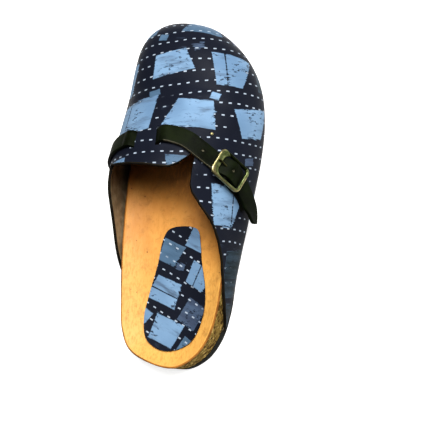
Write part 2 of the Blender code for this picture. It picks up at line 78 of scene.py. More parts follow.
def unit(vectors: Array) -> Array:
    """Scales vectors to length one.

    Args:
        vectors: Vectors along the last axis.

    Returns:
        The same directions, with straight up where a vector has no length.
    """
    length = np.linalg.norm(vectors, axis=-1, keepdims=True)
    up = np.zeros_like(vectors)
    up[..., -1] = 1.0
    return np.where(length > TINY, vectors / np.maximum(length, TINY), up)


def smooth_curve(x: Array, knots: Array, values: Array) -> Array:
    """Monotone cubic through knots, held level beyond both ends.

    Args:
        x: Where the curve is read.
        knots: Stations of the known values.
        values: Known values.

    Returns:
        The curve at x.
    """
    x = np.clip(x, knots[0], knots[-1])
    width = np.diff(knots)
    slope = np.diff(values) / width
    same_way = slope[:-1] * slope[1:] > 0
    total = np.where(same_way, slope[:-1] + slope[1:], 1.0)
    inner = np.where(same_way, 2 * slope[:-1] * slope[1:] / total, 0.0)
    tangent = np.concatenate([slope[:1], inner, slope[-1:]])
    i = np.clip(np.searchsorted(knots, x, side="right") - 1, 0, len(knots) - 2)
    t = (x - knots[i]) / width[i]
    rise = values[i + 1] - values[i]
    bend_in = width[i] * tangent[i] - rise
    bend_out = rise - width[i] * tangent[i + 1]
    return values[i] + t * rise + t * (1 - t) * (bend_in * (1 - t) + bend_out * t)


def catmull_rom(points: Array, t: Array) -> Array:
    """Reads the smooth open curve through points.

    Args:
        points: Points that the curve passes.
        t: Row positions, whole numbers at the points.

    Returns:
        A point for each row position.
    """
    padded = np.vstack([2 * points[0] - points[1], points, 2 * points[-1] - points[-2]])
    i = np.clip(np.floor(t).astype(int), 0, len(points) - 2)
    f = (t - i)[:, None]
    a, b, c, d = (padded[i + k] for k in range(4))
    return b + 0.5 * f * (c - a + f * (2 * a - 5 * b + 4 * c - d + f * (3 * (b - c) + d - a)))


def pushed_out(outline: Array, distance: Array | float) -> Array:
    """Moves a closed outline outwards.

    Args:
        outline: Plan points of the outline.
        distance: Distance for each point, or one for all.

    Returns:
        The moved outline.
    """
    along = unit(np.roll(outline, -1, axis=0) - np.roll(outline, 1, axis=0))
    out = np.stack([along[:, 1], -along[:, 0]], axis=1)
    return outline + out * np.broadcast_to(distance, len(outline))[:, None]


def reach(outline: Array, centre: Array, direction: Array) -> Array:
    """Finds where rays first meet a closed outline.

    Args:
        outline: Plan points of the outline.
        centre: Start of each ray, inside the outline.
        direction: Direction of each ray.

    Returns:
        The meeting point of each ray.
    """
    hits = np.empty_like(centre)
    for first in range(0, len(centre), RAY_BLOCK):
        block = slice(first, first + RAY_BLOCK)
        start = outline[None] - centre[block, None]
        end = np.roll(start, -1, axis=1)
        turn = np.stack([-direction[block, 1], direction[block, 0]], axis=1)
        before = np.einsum("nkc,nc->nk", start, turn)
        after = np.roll(before, -1, axis=1)
        share = before / np.where(before == after, 1.0, before - after)
        hit = start + share[..., None] * (end - start)
        ahead = (before * after <= 0) & (before != after)
        ahead &= np.einsum("nkc,nc->nk", hit, direction[block]) > 0
        hits[block] = centre[block] + hit[np.arange(len(hit)), np.argmax(ahead, axis=1)]
    return hits


@dataclass(frozen=True)
class Table:
    """Rows of measured numbers under column names, lengths in millimetres."""

    names: str
    rows: tuple[tuple[float, ...], ...]

    def column(self, name: str) -> Array:
        """One column as an array."""
        return np.array([row[self.names.split().index(name)] for row in self.rows], float)

    def stacked(self) -> Array:
        """All rows as one array."""
        return np.array(self.rows, float)

    def at(self, name: str, s: Array | float) -> Array:
        """Reads a column between its rows.

        Args:
            name: Column to read.
            s: Stations along the shoe.

        Returns:
            The column's value at each station.
        """
        return smooth_curve(np.asarray(s, float), self.column("s"), self.column(name))

    def closed_outline(self, steps: int = 14) -> Array:
        """Runs a dense closed outline through the rows.

        Args:
            steps: Points from one row to the next.

        Returns:
            Plan points of the outline.
        """
        points = self.stacked()
        ring = np.vstack([points[-2:], points, points[:3]])
        return catmull_rom(ring, 2 + np.arange(len(points) * steps) / steps)


# Last


SOLE_OUTLINE = Table("x s", (
    (2, 1.0), (20.2, 7.7), (31.8, 22.7), (37.5, 42), (40.0, 62), (43.2, 84), (46.6, 106), (50.4, 130),
    (53.4, 152), (54.9, 176), (52.8, 200), (46.6, 219), (35.6, 235.5), (19, 248.8), (-4, 254.6),
    (-21.5, 251), (-32.6, 239), (-38, 221), (-40.6, 200), (-42.2, 172), (-42, 140), (-41, 110),
    (-40, 80), (-38.6, 50), (-35.7, 26), (-25.4, 9.8),
))
OUTSOLE = Table("s lift deck reach", (
    (0, 0, 9.5, 0.2), (50, 0, 9.5, 0.2), (75, 0, 9.0, -0.4), (105, 1.6, 8.0, -1.0),
    (135, 0, 6.8, -1.0), (160, 0, 6.0, -1.0), (195, 0, 5.6, -1.0), (215, 0.9, 6.3, -1.0),
    (235, 3.6, 8.8, -1.0), (250, 6.6, 11.6, -1.0), (262, 9.4, 14.2, -1.0),
))
FOOTBED = Table("s seat inner_rim outer_rim", (
    (0, 19.5, 28.5, 28.5), (45, 19.5, 28.5, 28.5), (75, 20.5, 29.5, 28.0), (110, 20.5, 28.2, 24.5),
    (140, 18.0, 24.6, 21.5), (170, 16.2, 21.0, 20.5), (200, 15.6, 20.5, 20.0), (215, 16.2, 21.0, 21.0),
    (240, 18.5, 24.0, 24.0), (262, 24.0, 28.0, 28.0),
))
FOOTBED_BUMPS = Table("x s height across along", ((4, 150, 2.2, 17, 13), (2, 211, 1.6, 38, 7)))
INLAY_OUTLINE = Table("x s", (
    (6.6, 101.8), (16.6, 99.4), (19.6, 90), (21.6, 76), (25.6, 57), (25.2, 38), (17.2, 20), (-0.9, 13.2),
    (-16.6, 20.4), (-20.4, 36), (-17.6, 53), (-12.4, 74), (-9.8, 91), (-5.0, 99.8),
))
BULGE = Table("s inner outer", (
    (38, 3.2, 3.4), (75, 3.2, 4.6), (110, 3.5, 5.2), (128, 5.2, 5.3), (142, 6.2, 5.4), (172, 4.4, 5.6),
    (202, 3.5, 5.1), (235, 3.0, 4.0), (262, 3.0, 3.2),
))
SECTIONS = Table("s ridge_x ridge_z inner_shoulder outer_shoulder", (
    (38, -3, 84.0, 2.6, 1.75), (110, -3, 80.0, 2.6, 1.70), (135, -3, 75.5, 2.5, 1.68),
    (150, -3, 70.8, 2.4, 1.74), (170, -3.5, 63.2, 2.3, 1.9), (190, -5, 55.8, 2.25, 2.1),
    (205, -6.5, 51.6, 2.25, 2.2), (215, -7, 50.6, 2.25, 2.25),
))
UPPER_EDGE = Table("girth s", (
    (-1, 28), (-0.5, 31.5), (0, 37.2), (0.045, 41), (0.108, 50.5), (0.153, 60.1), (0.192, 66.7),
    (0.221, 73.9), (0.292, 86.3), (0.365, 96.9), (0.409, 101.4), (0.484, 108.1), (0.569, 117.3),
    (0.594, 122.5), (0.603, 131), (0.608, 139), (0.618, 157), (0.637, 145.2), (0.662, 141.9),
    (0.711, 137.1), (0.769, 134.3), (0.854, 134.3), (0.949, 135.6), (1, 136), (1.112, 137.1),
    (1.35, 138.3), (1.44, 139.2), (1.49, 138.4), (1.535, 132.0), (1.60, 126.0), (1.695, 117),
    (1.838, 95.7), (1.918, 79.3), (1.96, 72), (2, 66), (2.5, 57), (3, 50),
))


class Side(IntEnum):
    """Which way across the shoe a side lies."""

    OUTER = 1
    INNER = -1


@dataclass(frozen=True)
class Last:
    """The form the shoe is made on, as surfaces that the pieces follow. Lengths in millimetres."""

    heel_centre: float = 45.0
    toe_centre: float = 215.0
    wall: float = 2.0
    piece_gap: float = 0.3
    upper_to_cork: float = 0.55
    bulge_blend: float = 25.0
    widest_over_deck: float = 7.4
    bowl: float = 3.0
    girth_step: float = 0.02
    station_step: float = 1.0
    on_middle: float = 1e-6

    @cached_property
    def sole(self) -> Array:
        """Outline of the cork, seen from above."""
        return SOLE_OUTLINE.closed_outline()

    @cached_property
    def widest(self) -> Array:
        """The upper's widest line, seen from above.

        Returns:
            Plan points of the line.
        """
        inner, outer = (BULGE.at(name, self.sole[:, 1]) for name in ("inner", "outer"))
        share = np.clip((self.sole[:, 0] / self.bulge_blend + 1) / 2, 0, 1)
        return pushed_out(self.sole, inner + share * (outer - inner))

    @cached_property
    def feather(self) -> Array:
        """The upper's lower edge, seen from above."""
        return pushed_out(self.sole, self.upper_to_cork + self.wall)

    @cached_property
    def shift(self) -> Array:
        """Way from the shoe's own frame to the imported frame."""
        packed = np.mean([corner[:2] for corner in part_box("insole")], axis=0) / MM
        return np.array([*(packed - (self.sole.min(axis=0) + self.sole.max(axis=0)) / 2), 0.0])

    def placed(self, points: Array) -> Array:
        """Points of the shoe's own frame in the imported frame, in metres."""
        return (np.asarray(points, float) + self.shift) * MM

    def middle(self, s: Array) -> Array:
        """Finds the line midway between the sole's two sides.

        Args:
            s: Stations along the shoe.

        Returns:
            Plan points of the line.
        """
        s = np.atleast_1d(np.asarray(s, float))
        start = np.column_stack([np.zeros_like(s), s])
        across = [reach(self.sole, start, np.tile((float(side), 0.0), (len(s), 1)))[:, 0] for side in Side]
        return np.column_stack([(across[0] + across[1]) / 2, s])

    def ribs(self, centre: Array, direction: Array, shoulder: Array, girth: Array) -> Array:
        """Points of the upper's outer surface on ribs that leave the ridge.

        Args:
            centre: Plan point of each rib's start on the ridge.
            direction: Plan direction of each rib.
            shoulder: How square each rib's shoulder is.
            girth: -1 at the feather edge, 0 widest, 1 on the ridge; more axes may come first.

        Returns:
            A point for each girth.
        """
        widest, feather = (reach(line, centre, direction) for line in (self.widest, self.feather))
        deck = OUTSOLE.at("deck", widest[:, 1])
        ridge_z = SECTIONS.at("ridge_z", centre[:, 1])
        widest_z, feather_z = deck + self.widest_over_deck, deck + self.piece_gap
        angle = np.abs(girth) * math.pi / 2
        cosine, sine = np.maximum(np.cos(angle), 0.0), np.sin(angle)
        above = girth >= 0
        out, up = cosine ** (2 / shoulder), sine ** (2 / shoulder)
        plan = np.where(
            above[..., None],
            centre + out[..., None] * (widest - centre),
            widest + (1 - cosine)[..., None] * (feather - widest),
        )
        z = np.where(above, widest_z + up * (ridge_z - widest_z), widest_z + sine * (feather_z - widest_z))
        return np.concatenate([plan, z[..., None]], axis=-1)

    def wall_ribs(self, s: Array, side: Array) -> tuple[Array, Array, Array]:
        """Sets up the ribs at the sides of the shoe.

        Args:
            s: Stations along the shoe.
            side: 1 on the outer and -1 on the inner side.

        Returns:
            Centre, direction and shoulder of each rib.
        """
        centre = np.column_stack([SECTIONS.at("ridge_x", s), s])
        direction = np.column_stack([side, np.zeros_like(s)])
        shoulder = np.where(side > 0, SECTIONS.at("outer_shoulder", s), SECTIONS.at("inner_shoulder", s))
        return centre, direction, shoulder

    def toe_ribs(self, angle: Array) -> tuple[Array, Array, Array]:
        """Sets up the ribs that fan out round the toe.

        Args:
            angle: Turn of each rib from the outer side.

        Returns:
            Centre, direction and shoulder of each rib.
        """
        centre = np.tile((float(SECTIONS.at("ridge_x", self.toe_centre)), self.toe_centre), (len(angle), 1))
        shoulder = np.full(len(angle), float(SECTIONS.at("outer_shoulder", self.toe_centre)))
        return centre, np.column_stack([np.cos(angle), np.sin(angle)]), shoulder

    def wall_point(self, s: Array, girth: Array) -> Array:
        """Points of the upper's outer surface at the sides.

        Args:
            s: Stations along the shoe.
            girth: From -1 at the outer feather edge over 1 on the ridge to 3 at the inner one.

        Returns:
            A point for each pair.
        """
        s, girth = np.asarray(s, float), np.asarray(girth, float)
        side = np.where(girth <= 1, float(Side.OUTER), float(Side.INNER))
        return self.ribs(*self.wall_ribs(s, side), np.where(girth <= 1, girth, 2 - girth))

    def lifted(self, girth: Array, s: Array, lift: Array) -> tuple[Array, Array]:
        """Points over the upper's outer surface.

        Args:
            girth: Places round the upper.
            s: Stations along the shoe.
            lift: Height over the leather.

        Returns:
            The points, and the surface's outward directions there.
        """
        dg, ds = self.girth_step, self.station_step
        around = self.wall_point(s, girth + dg) - self.wall_point(s, girth - dg)
        ahead = self.wall_point(s + ds, girth) - self.wall_point(s - ds, girth)
        out = unit(np.cross(ahead, around))
        return self.wall_point(s, girth) + np.asarray(lift)[..., None] * out, out

    def laid_on(self, route: Table, first: float, last: float, steps: int) -> tuple[Array, Array]:
        """Follows a route over the upper.

        Args:
            route: Rows of girth, station and lift.
            first: Row position of the start.
            last: Row position of the end.
            steps: Steps from start to end.

        Returns:
            Points along the route, and the outward directions there.
        """
        rows = catmull_rom(route.stacked(), np.linspace(first, last, steps + 1))
        return self.lifted(rows[:, 0], rows[:, 1], rows[:, 2])

    def bumps(self, x: Array, s: Array) -> Array:
        """Height of the footbed's raised places.

        Args:
            x: Places across the shoe.
            s: Stations along the shoe.

        Returns:
            Height at each place.
        """
        height = np.zeros_like(x)
        for x0, s0, top, across, along in FOOTBED_BUMPS.rows:
            height += top * np.exp(-(((x - x0) / across) ** 2) - ((s - s0) / along) ** 2)
        return height

    def footbed_z(self, centre: Array, direction: Array, share: Array, plan: Array, edge: Array) -> Array:
        """Height of the insole's top.

        Args:
            centre: Start of each point's ray on the middle line.
            direction: Direction of each ray.
            share: Share of the way from the middle line to the sole's edge.
            plan: Plan points that are read.
            edge: Plan points whose station gives the rim's height.

        Returns:
            Height at each plan point.
        """
        inner, outer = (FOOTBED.at(name, edge[:, 1]) for name in ("inner_rim", "outer_rim"))
        rim = inner + (outer - inner) * (direction[:, 0] + 1) / 2
        seat = FOOTBED.at("seat", centre[:, 1])
        return seat + (rim - seat) * share**self.bowl + self.bumps(plan[:, 0], plan[:, 1])

    def footbed_at(self, plan: Array) -> Array:
        """Height of the insole's top at plan points behind the toes.

        Args:
            plan: Plan points.

        Returns:
            Height at each point.
        """
        centre = self.middle(np.maximum(plan[:, 1], self.heel_centre))
        offset = plan - centre
        length = np.linalg.norm(offset, axis=1)
        away = np.maximum(length, self.on_middle)[:, None]
        direction = np.where(length[:, None] > self.on_middle, offset / away, (1.0, 0.0))
        edge = reach(self.sole, centre, direction)
        share = length / np.linalg.norm(edge - centre, axis=1)
        return self.footbed_z(centre, direction, share, plan, edge)


LAST = Last()


@dataclass(frozen=True)
class Rays:
    """Rays from the sole's middle line out to its edge, once round from the outer heel."""

    side_steps: int = 90
    toe_steps: int = 48
    heel_steps: int = 48

    @cached_property
    def lines(self) -> tuple[Array, Array]:
        """Sets out the rays.

        Returns:
            Start and direction of each ray.
        """
        middles = LAST.middle(np.linspace(LAST.heel_centre, LAST.toe_centre, self.side_steps + 1))
        toe = math.pi * np.arange(1, self.toe_steps) / self.toe_steps
        heel = math.pi * (1 + np.arange(1, self.heel_steps) / self.heel_steps)
        sides = np.zeros(len(middles))
        turn = np.concatenate([sides, toe, sides + math.pi, heel])
        centre = np.vstack([
            middles, np.tile(middles[-1], (len(toe), 1)), middles[::-1], np.tile(middles[0], (len(heel), 1)),
        ])
        return centre, np.column_stack([np.cos(turn), np.sin(turn)])

    def ring(self, outline: Array, share: float) -> Array:
        """Plan points along the rays.

        Args:
            outline: Closed outline the rays run to.
            share: Share of the way to the outline.

        Returns:
            One point a ray.
        """
        centre, direction = self.lines
        return centre + share * (reach(outline, centre, direction) - centre)

    def layer(self, share: float, drop: float) -> Array:
        """Ring of the footbed's form.

        Args:
            share: Share of the way to the sole's edge.
            drop: Depth below the insole's top.

        Returns:
            One point a ray.
        """
        centre, direction = self.lines
        plan = self.ring(LAST.sole, share)
        z = LAST.footbed_z(centre, direction, np.full(len(plan), share), plan, plan)
        return np.column_stack([plan, z - drop])


# Meshes


def woven(
    points: Array, uv: Array | None = None, slots: Array | None = None, closed: bool = False
) -> BMesh:
    """Lays a grid through rows of points.

    Args:
        points: Rows and columns of points in the shoe's own frame.
        uv: Flat place of each point, in millimetres.
        slots: Material number of each face.
        closed: Whether the last column joins the first.

    Returns:
        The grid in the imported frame, doubles merged.
    """
    if closed:
        points = np.concatenate([points, points[:, :1]], axis=1)
        uv = None if uv is None else np.concatenate([uv, uv[:, :1]], axis=1)
    rows, columns = points.shape[:2]
    place = LAST.placed(points)
    bm = bmesh.new()
    layer = bm.loops.layers.uv.new(UV_NAME)
    bmesh.ops.create_grid(bm, x_segments=columns - 1, y_segments=rows - 1, size=0.5)
    spot = {
        vert: (round((vert.co.y + 0.5) * (rows - 1)), round((vert.co.x + 0.5) * (columns - 1)))
        for vert in bm.verts
    }
    for face in bm.faces:
        corners = [spot[loop.vert] for loop in face.loops]
        if slots is not None:
            face.material_index = int(slots[min(r for r, _ in corners), min(c for _, c in corners)])
        if uv is not None:
            for loop, corner in zip(face.loops, corners):
                loop[layer].uv = uv[corner]
    for vert, corner in spot.items():
        vert.co = place[corner]
    bmesh.ops.remove_doubles(bm, verts=bm.verts, dist=WELD)
    return bm


def closed_up(bm: BMesh) -> BMesh:
    """Caps what is open of a mesh and turns its faces outwards.

    Args:
        bm: Mesh to close.

    Returns:
        The same mesh.
    """
    bmesh.ops.holes_fill(bm, edges=[edge for edge in bm.edges if edge.is_boundary])
    bmesh.ops.recalc_face_normals(bm, faces=bm.faces)
    return bm


def smoothed(mesh: bpy.types.Mesh) -> bpy.types.Mesh:
    """Shades a mesh smooth, and sharp where its faces meet at a steep angle.

    Args:
        mesh: Mesh to shade.

    Returns:
        The same mesh.
    """
    mesh.shade_smooth()
    mesh.set_sharp_from_angle(angle=SHARP_ANGLE)
    return mesh


def new_piece(name: str, bm: BMesh, materials: Sequence[Material]) -> Object:
    """Makes an object of a mesh.

    Args:
        name: Name of the piece.
        bm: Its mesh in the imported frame.
        materials: Its materials, in slot order.

    Returns:
        The object, at the origin.
    """
    mesh = bpy.data.meshes.new(name)
    bm.to_mesh(mesh)
    bm.free()
    for material in materials:
        mesh.materials.append(material)
    obj = bpy.data.objects.new(name, smoothed(mesh))
    bpy.context.scene.collection.objects.link(obj)
    return obj


def settle(obj: Object, tools: Sequence[Object]) -> Object:
    """Turns an object's modifiers into plain mesh and removes its cutting tools.

    Args:
        obj: Object with modifiers.
        tools: Objects that the modifiers used.

    Returns:
        The same object.
    """
    depsgraph = bpy.context.evaluated_depsgraph_get()
    mesh = bpy.data.meshes.new_from_object(obj.evaluated_get(depsgraph))
    obj.modifiers.clear()
    old, obj.data = obj.data, smoothed(mesh)
    bpy.data.meshes.remove(old)
    mesh.name = obj.name
    for tool in tools:
        spare = tool.data
        bpy.data.objects.remove(tool, do_unlink=True)
        bpy.data.meshes.remove(spare)
    return obj


def cut_by(obj: Object, tool: Object) -> None:
    """Takes a tool's form out of an object.

    Args:
        obj: Object to cut.
        tool: Closed form to take away.
    """
    tool.hide_render = True
    boolean = obj.modifiers.new(tool.name, "BOOLEAN")
    boolean.operation = "DIFFERENCE"
    boolean.solver = "EXACT"
    boolean.object = tool


def fitted(obj: Object, slot: str, *nodes: str) -> Object:
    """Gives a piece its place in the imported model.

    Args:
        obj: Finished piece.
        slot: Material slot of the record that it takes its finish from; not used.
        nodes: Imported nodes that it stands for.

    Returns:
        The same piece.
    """
    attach(obj, "root")
    if nodes:
        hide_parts(*nodes)
    return obj


def ribbon(points: Array, outs: Array, section: Array) -> Array:
    """Carries a cross-section along a route.

    Args:
        points: Points of the underside's middle.
        outs: Outward directions at the points.
        section: Corners as across and up, or one such set for each point.

    Returns:
        Rows of points, one row for each point of the route.
    """
    along = unit(np.gradient(points, axis=0))
    across = unit(np.cross(along, outs))
    up = np.cross(across, along)
    section = np.broadcast_to(section, (len(points), *np.shape(section)[-2:]))
    return points[:, None] + section[..., :1] * across[:, None] + section[..., 1:] * up[:, None]


def rounded_section(width: float, thick: float, radius: float, steps: int = 4, flats: int = 6) -> Array:
    """Cross-section of a strap with eased edges.

    Args:
        width: Width of the strap.
        thick: Thickness of the strap.
        radius: Radius of its edges.
        steps: Steps round each edge.
        flats: Steps across each broad face.

    Returns:
        Corners as across and up, once round from the lower left.
    """
    half = width / 2 - radius
    centres = ((half, radius), (half, thick - radius), (-half, thick - radius), (-half, radius))
    turns = np.linspace(0, math.pi / 2, steps + 1)
    corners = []
    for k, (across, up) in enumerate(centres):
        angle = turns + (k - 1) * math.pi / 2
        corners.append(np.column_stack([across + radius * np.cos(angle), up + radius * np.sin(angle)]))
        if k % 2:
            share = np.linspace(0, 1, flats + 1)[1:-1, None]
            start = corners[-1][-1]
            corners.append(start + share * (np.array([-start[0], start[1]]) - start))
    return np.vstack(corners)


def ring_solid(
    name: str, rings: Sequence[Array], materials: Sequence[Material], second: int = 0
) -> Object:
    """Closes rings into a solid.

    Args:
        name: Name of the piece.
        rings: Rings from the middle of the underside to the middle of the top.
        materials: Its materials.
        second: How many bands of faces, from the first ring, have the second material.

    Returns:
        The solid.
    """
    points = np.array(rings)
    slots = np.zeros((len(rings) - 1, points.shape[1]), int)
    slots[:second] = 1
    return new_piece(name, closed_up(woven(points, points[..., :2], slots, closed=True)), materials)


def facing(point: Array, out: Array) -> Matrix:
    """Places a form on the shoe with its third axis outwards.

    Args:
        point: Its place in the shoe's own frame.
        out: Outward direction there.

    Returns:
        The form's frame.
    """
    turn = Vector((0, 0, 1)).rotation_difference(Vector(out)).to_matrix().to_4x4()
    return Matrix.Translation(LAST.placed(point)) @ turn


def add_peg(bm: BMesh, matrix: Matrix, radius: float, depth: float, sides: int) -> None:
    """Adds a round peg to a mesh.

    Args:
        bm: Mesh that gets the peg.
        matrix: Frame of the peg's middle, with its length along the third axis.
        radius: Radius in millimetres.
        depth: Length in millimetres.
        sides: Faces round it.
    """
    bmesh.ops.create_cone(
        bm, cap_ends=True, segments=sides, radius1=radius * MM, radius2=radius * MM, depth=depth * MM,
        matrix=matrix,
    )


# Shaders


def ink(red: int, green: int, blue: int) -> Colour:
    """Turns a colour as seen on a screen into the light a surface sends back.

    Args:
        red: Red from 0 to 255.
        green: Green from 0 to 255.
        blue: Blue from 0 to 255.

    Returns:
        Linear colour with full cover.
    """
    shares = np.array((red, green, blue)) / 255
    linear = np.where(shares <= 0.04045, shares / 12.92, ((shares + 0.055) / 1.055) ** 2.4)
    return (*map(float, linear), 1.0)


@dataclass(frozen=True)
class Cloud:
    """Cloudy noise: clouds in a unit, levels and strength of finer ones, twist, stretch, turn in degrees."""

    scale: float = 1.0
    detail: float = 2.0
    rough: float = 0.5
    warp: float = 0.0
    stretch: Triple | None = None
    turn: float = 0.0


@dataclass(frozen=True)
class Ramp:
    """A soft step: where it starts and ends, and the results before and after it."""

    start: float
    end: float
    low: float = 0.0
    high: float = 1.0


@dataclass(frozen=True)
class Relief:
    """How deep a relief is, in metres, and how strongly it shows."""

    depth: float
    strength: float


class Sketch:
    """Short ways to add nodes to one tree."""

    def __init__(self, tree: NodeTree) -> None:
        """Takes the tree that the nodes go into."""
        self.tree = tree

    def node(self, kind: str, **settings: object) -> Node:
        """Adds a node.

        Args:
            kind: Kind of shader node.
            settings: Values of its own settings.

        Returns:
            The node.
        """
        made = self.tree.nodes.new("ShaderNode" + kind)
        for name, value in settings.items():
            setattr(made, name, value)
        return made

    def feed(self, socket: Socket, value: object) -> None:
        """Links a socket to another, or sets its plain value.

        Args:
            socket: Socket that is fed.
            value: Socket or plain value that feeds it.
        """
        if isinstance(value, Socket):
            self.tree.links.new(value, socket)
        else:
            socket.default_value = value

    def math(self, operation: str, *values: object) -> Socket:
        """Works out a number.

        Args:
            operation: Name of the sum.
            values: Its terms.

        Returns:
            The result.
        """
        made = self.node("Math", operation=operation)
        for socket, value in zip(made.inputs, values):
            self.feed(socket, value)
        return made.outputs[0]

    def step(self, value: object, ramp: Ramp) -> Socket:
        """Softly steps from one number to another.

        Args:
            value: What is read.
            ramp: Where the step lies and what it gives.

        Returns:
            The result.
        """
        made = self.node("MapRange", interpolation_type="SMOOTHSTEP")
        for socket, part in zip(made.inputs, (value, ramp.start, ramp.end, ramp.low, ramp.high)):
            self.feed(socket, part)
        return made.outputs[0]

    def mix(self, share: object, low: object, high: object) -> Socket:
        """Mixes two colours.

        Args:
            share: Share of the second colour.
            low: First colour.
            high: Second colour.

        Returns:
            The mixed colour.
        """
        made = self.node("Mix", data_type="RGBA")
        for socket, value in zip((made.inputs[0], made.inputs[6], made.inputs[7]), (share, low, high)):
            self.feed(socket, value)
        return made.outputs[2]

    def stretch(self, place: Socket, scale: Triple, turn: float = 0.0) -> Socket:
        """Turns and stretches places.

        Args:
            place: Places to change.
            scale: Scale along each axis.
            turn: Turn about the third axis, in degrees.

        Returns:
            The changed places.
        """
        made = self.node("Mapping")
        self.feed(made.inputs["Vector"], place)
        made.inputs["Rotation"].default_value = (0.0, 0.0, math.radians(turn))
        made.inputs["Scale"].default_value = scale
        return made.outputs[0]

    def noise(self, place: Socket, cloud: Cloud) -> Socket:
        """Adds cloudy noise.

        Args:
            place: Where it is read.
            cloud: Kind of noise.

        Returns:
            A number about 0.5.
        """
        if cloud.stretch is not None:
            place = self.stretch(place, cloud.stretch, cloud.turn)
        made = self.node("TexNoise")
        self.feed(made.inputs["Vector"], place)
        made.inputs["Scale"].default_value = cloud.scale
        made.inputs["Detail"].default_value = cloud.detail
        made.inputs["Roughness"].default_value = cloud.rough
        made.inputs["Distortion"].default_value = cloud.warp
        return made.outputs["Fac"]

    def cells(self, place: Socket, scale: float, feature: str = "F1", output: str = "Distance") -> Socket:
        """Adds a pattern of cells.

        Args:
            place: Where it is read.
            scale: Cells in one unit.
            feature: What is measured in each cell.
            output: Which result is taken.

        Returns:
            The result.
        """
        made = self.node("TexVoronoi", feature=feature)
        self.feed(made.inputs["Vector"], place)
        made.inputs["Scale"].default_value = scale
        return made.outputs[output]

    def split(self, place: Socket) -> tuple[Socket, Socket, Socket]:
        """Takes a place apart.

        Args:
            place: Place or colour to take apart.

        Returns:
            Its three numbers.
        """
        made = self.node("SeparateXYZ")
        self.feed(made.inputs[0], place)
        return tuple(made.outputs)

    def bump(self, height: Socket, relief: Relief, under: Socket | None = None) -> Socket:
        """Turns a height into a relief.

        Args:
            height: Height from 0 to 1.
            relief: Depth and strength of the relief.
            under: Surface direction that it lies on.

        Returns:
            The surface direction.
        """
        made = self.node("Bump")
        made.inputs["Distance"].default_value = relief.depth
        made.inputs["Strength"].default_value = relief.strength
        self.feed(made.inputs["Height"], height)
        if under is not None:
            self.feed(made.inputs["Normal"], under)
        return made.outputs[0]

    def group(self, tree: NodeTree, **values: object) -> Node:
        """Adds a group of nodes.

        Args:
            tree: The group.
            values: What its inputs get.

        Returns:
            The group's node.
        """
        made = self.node("Group", node_tree=tree)
        for name, value in values.items():
            self.feed(made.inputs[name], value)
        return made

    def flat_place(self) -> Socket:
        """Flat place on the leather before it was shaped, in millimetres."""
        return self.node("UVMap", uv_map=UV_NAME).outputs[0]

    def solid_place(self) -> Socket:
        """Reads the place in the piece.

        Returns:
            The place, in millimetres.
        """
        made = self.node("VectorMath", operation="SCALE")
        self.feed(made.inputs[0], self.node("TexCoord").outputs["Object"])
        made.inputs["Scale"].default_value = 1 / MM
        return made.outputs[0]


class GroupSketch(Sketch):
    """A shader group under construction."""

    def __init__(self, name: str, inputs: Sequence[str], outputs: Sequence[str]) -> None:
        """Opens a group with named sockets.

        Args:
            name: Name of the group.
            inputs: Socket names; one that starts with a capital is a place, others are numbers.
            outputs: Socket names; one that starts with a capital is a colour, others are numbers.
        """
        super().__init__(bpy.data.node_groups.new(name, "ShaderNodeTree"))
        ends = ((inputs, "INPUT", "NodeSocketVector"), (outputs, "OUTPUT", "NodeSocketColor"))
        for names, in_out, capital in ends:
            for socket in names:
                kind = capital if socket[0].isupper() else "NodeSocketFloat"
                self.tree.interface.new_socket(socket, in_out=in_out, socket_type=kind)
        self.given = self.tree.nodes.new("NodeGroupInput").outputs
        self.result = self.tree.nodes.new("NodeGroupOutput").inputs


# Shared shader groups


@dataclass(frozen=True)
class LeatherGrain:
    """Leather grain: small pebbles with finer noise between them."""

    pebble_height: float = -0.7
    fine: Cloud = Cloud(2.6, detail=3.0, rough=0.6)
    fine_height: float = 0.6
    mottle: Cloud = Cloud(0.05, detail=4.0, rough=0.6)

    def group(self) -> NodeTree:
        """Draws the grain.

        Returns:
            The group, with the grain's height and a slow mottle.
        """
        g = GroupSketch("leather_grain", ("Place", "size"), ("height", "mottle"))
        scaled = g.node("VectorMath", operation="DIVIDE")
        g.feed(scaled.inputs[0], g.given["Place"])
        spread = g.node("CombineXYZ")
        for socket in spread.inputs:
            g.feed(socket, g.given["size"])
        g.feed(scaled.inputs[1], spread.outputs[0])
        place = scaled.outputs[0]
        pebbles = g.cells(place, 1.0, "SMOOTH_F1")
        fine = g.math("MULTIPLY", g.noise(place, self.fine), self.fine_height)
        g.feed(g.result["height"], g.math("MULTIPLY_ADD", pebbles, self.pebble_height, fine))
        g.feed(g.result["mottle"], g.noise(place, self.mottle))
        return g.tree


@dataclass(frozen=True)
class RaggedPatch:
    """One patch of the print, with a ragged edge that fades over a short way in millimetres."""

    fade: float = 0.3

    def group(self) -> NodeTree:
        """Draws the patch.

        Returns:
            The group, with a mask of the patch.
        """
        sizes = ("turn", "half_u", "half_v", "taper", "ragged")
        g = GroupSketch("print_patch", ("Place", "Centre", *sizes), ("patch",))
        offset = g.node("VectorMath", operation="SUBTRACT")
        g.feed(offset.inputs[0], g.given["Place"])
        g.feed(offset.inputs[1], g.given["Centre"])
        turned = g.node("VectorRotate", rotation_type="Z_AXIS")
        g.feed(turned.inputs["Vector"], offset.outputs[0])
        g.feed(turned.inputs["Angle"], g.math("MULTIPLY", g.given["turn"], -1.0))
        along, across, _ = g.split(turned.outputs[0])
        width = g.math("MULTIPLY_ADD", across, g.given["taper"], g.given["half_u"])
        past_u = g.math("SUBTRACT", g.math("ABSOLUTE", along), width)
        past_v = g.math("SUBTRACT", g.math("ABSOLUTE", across), g.given["half_v"])
        edge = g.math("ADD", g.math("MAXIMUM", past_u, past_v), g.given["ragged"])
        g.feed(g.result["patch"], g.step(edge, Ramp(-self.fade, self.fade, low=1.0, high=0.0)))
        return g.tree


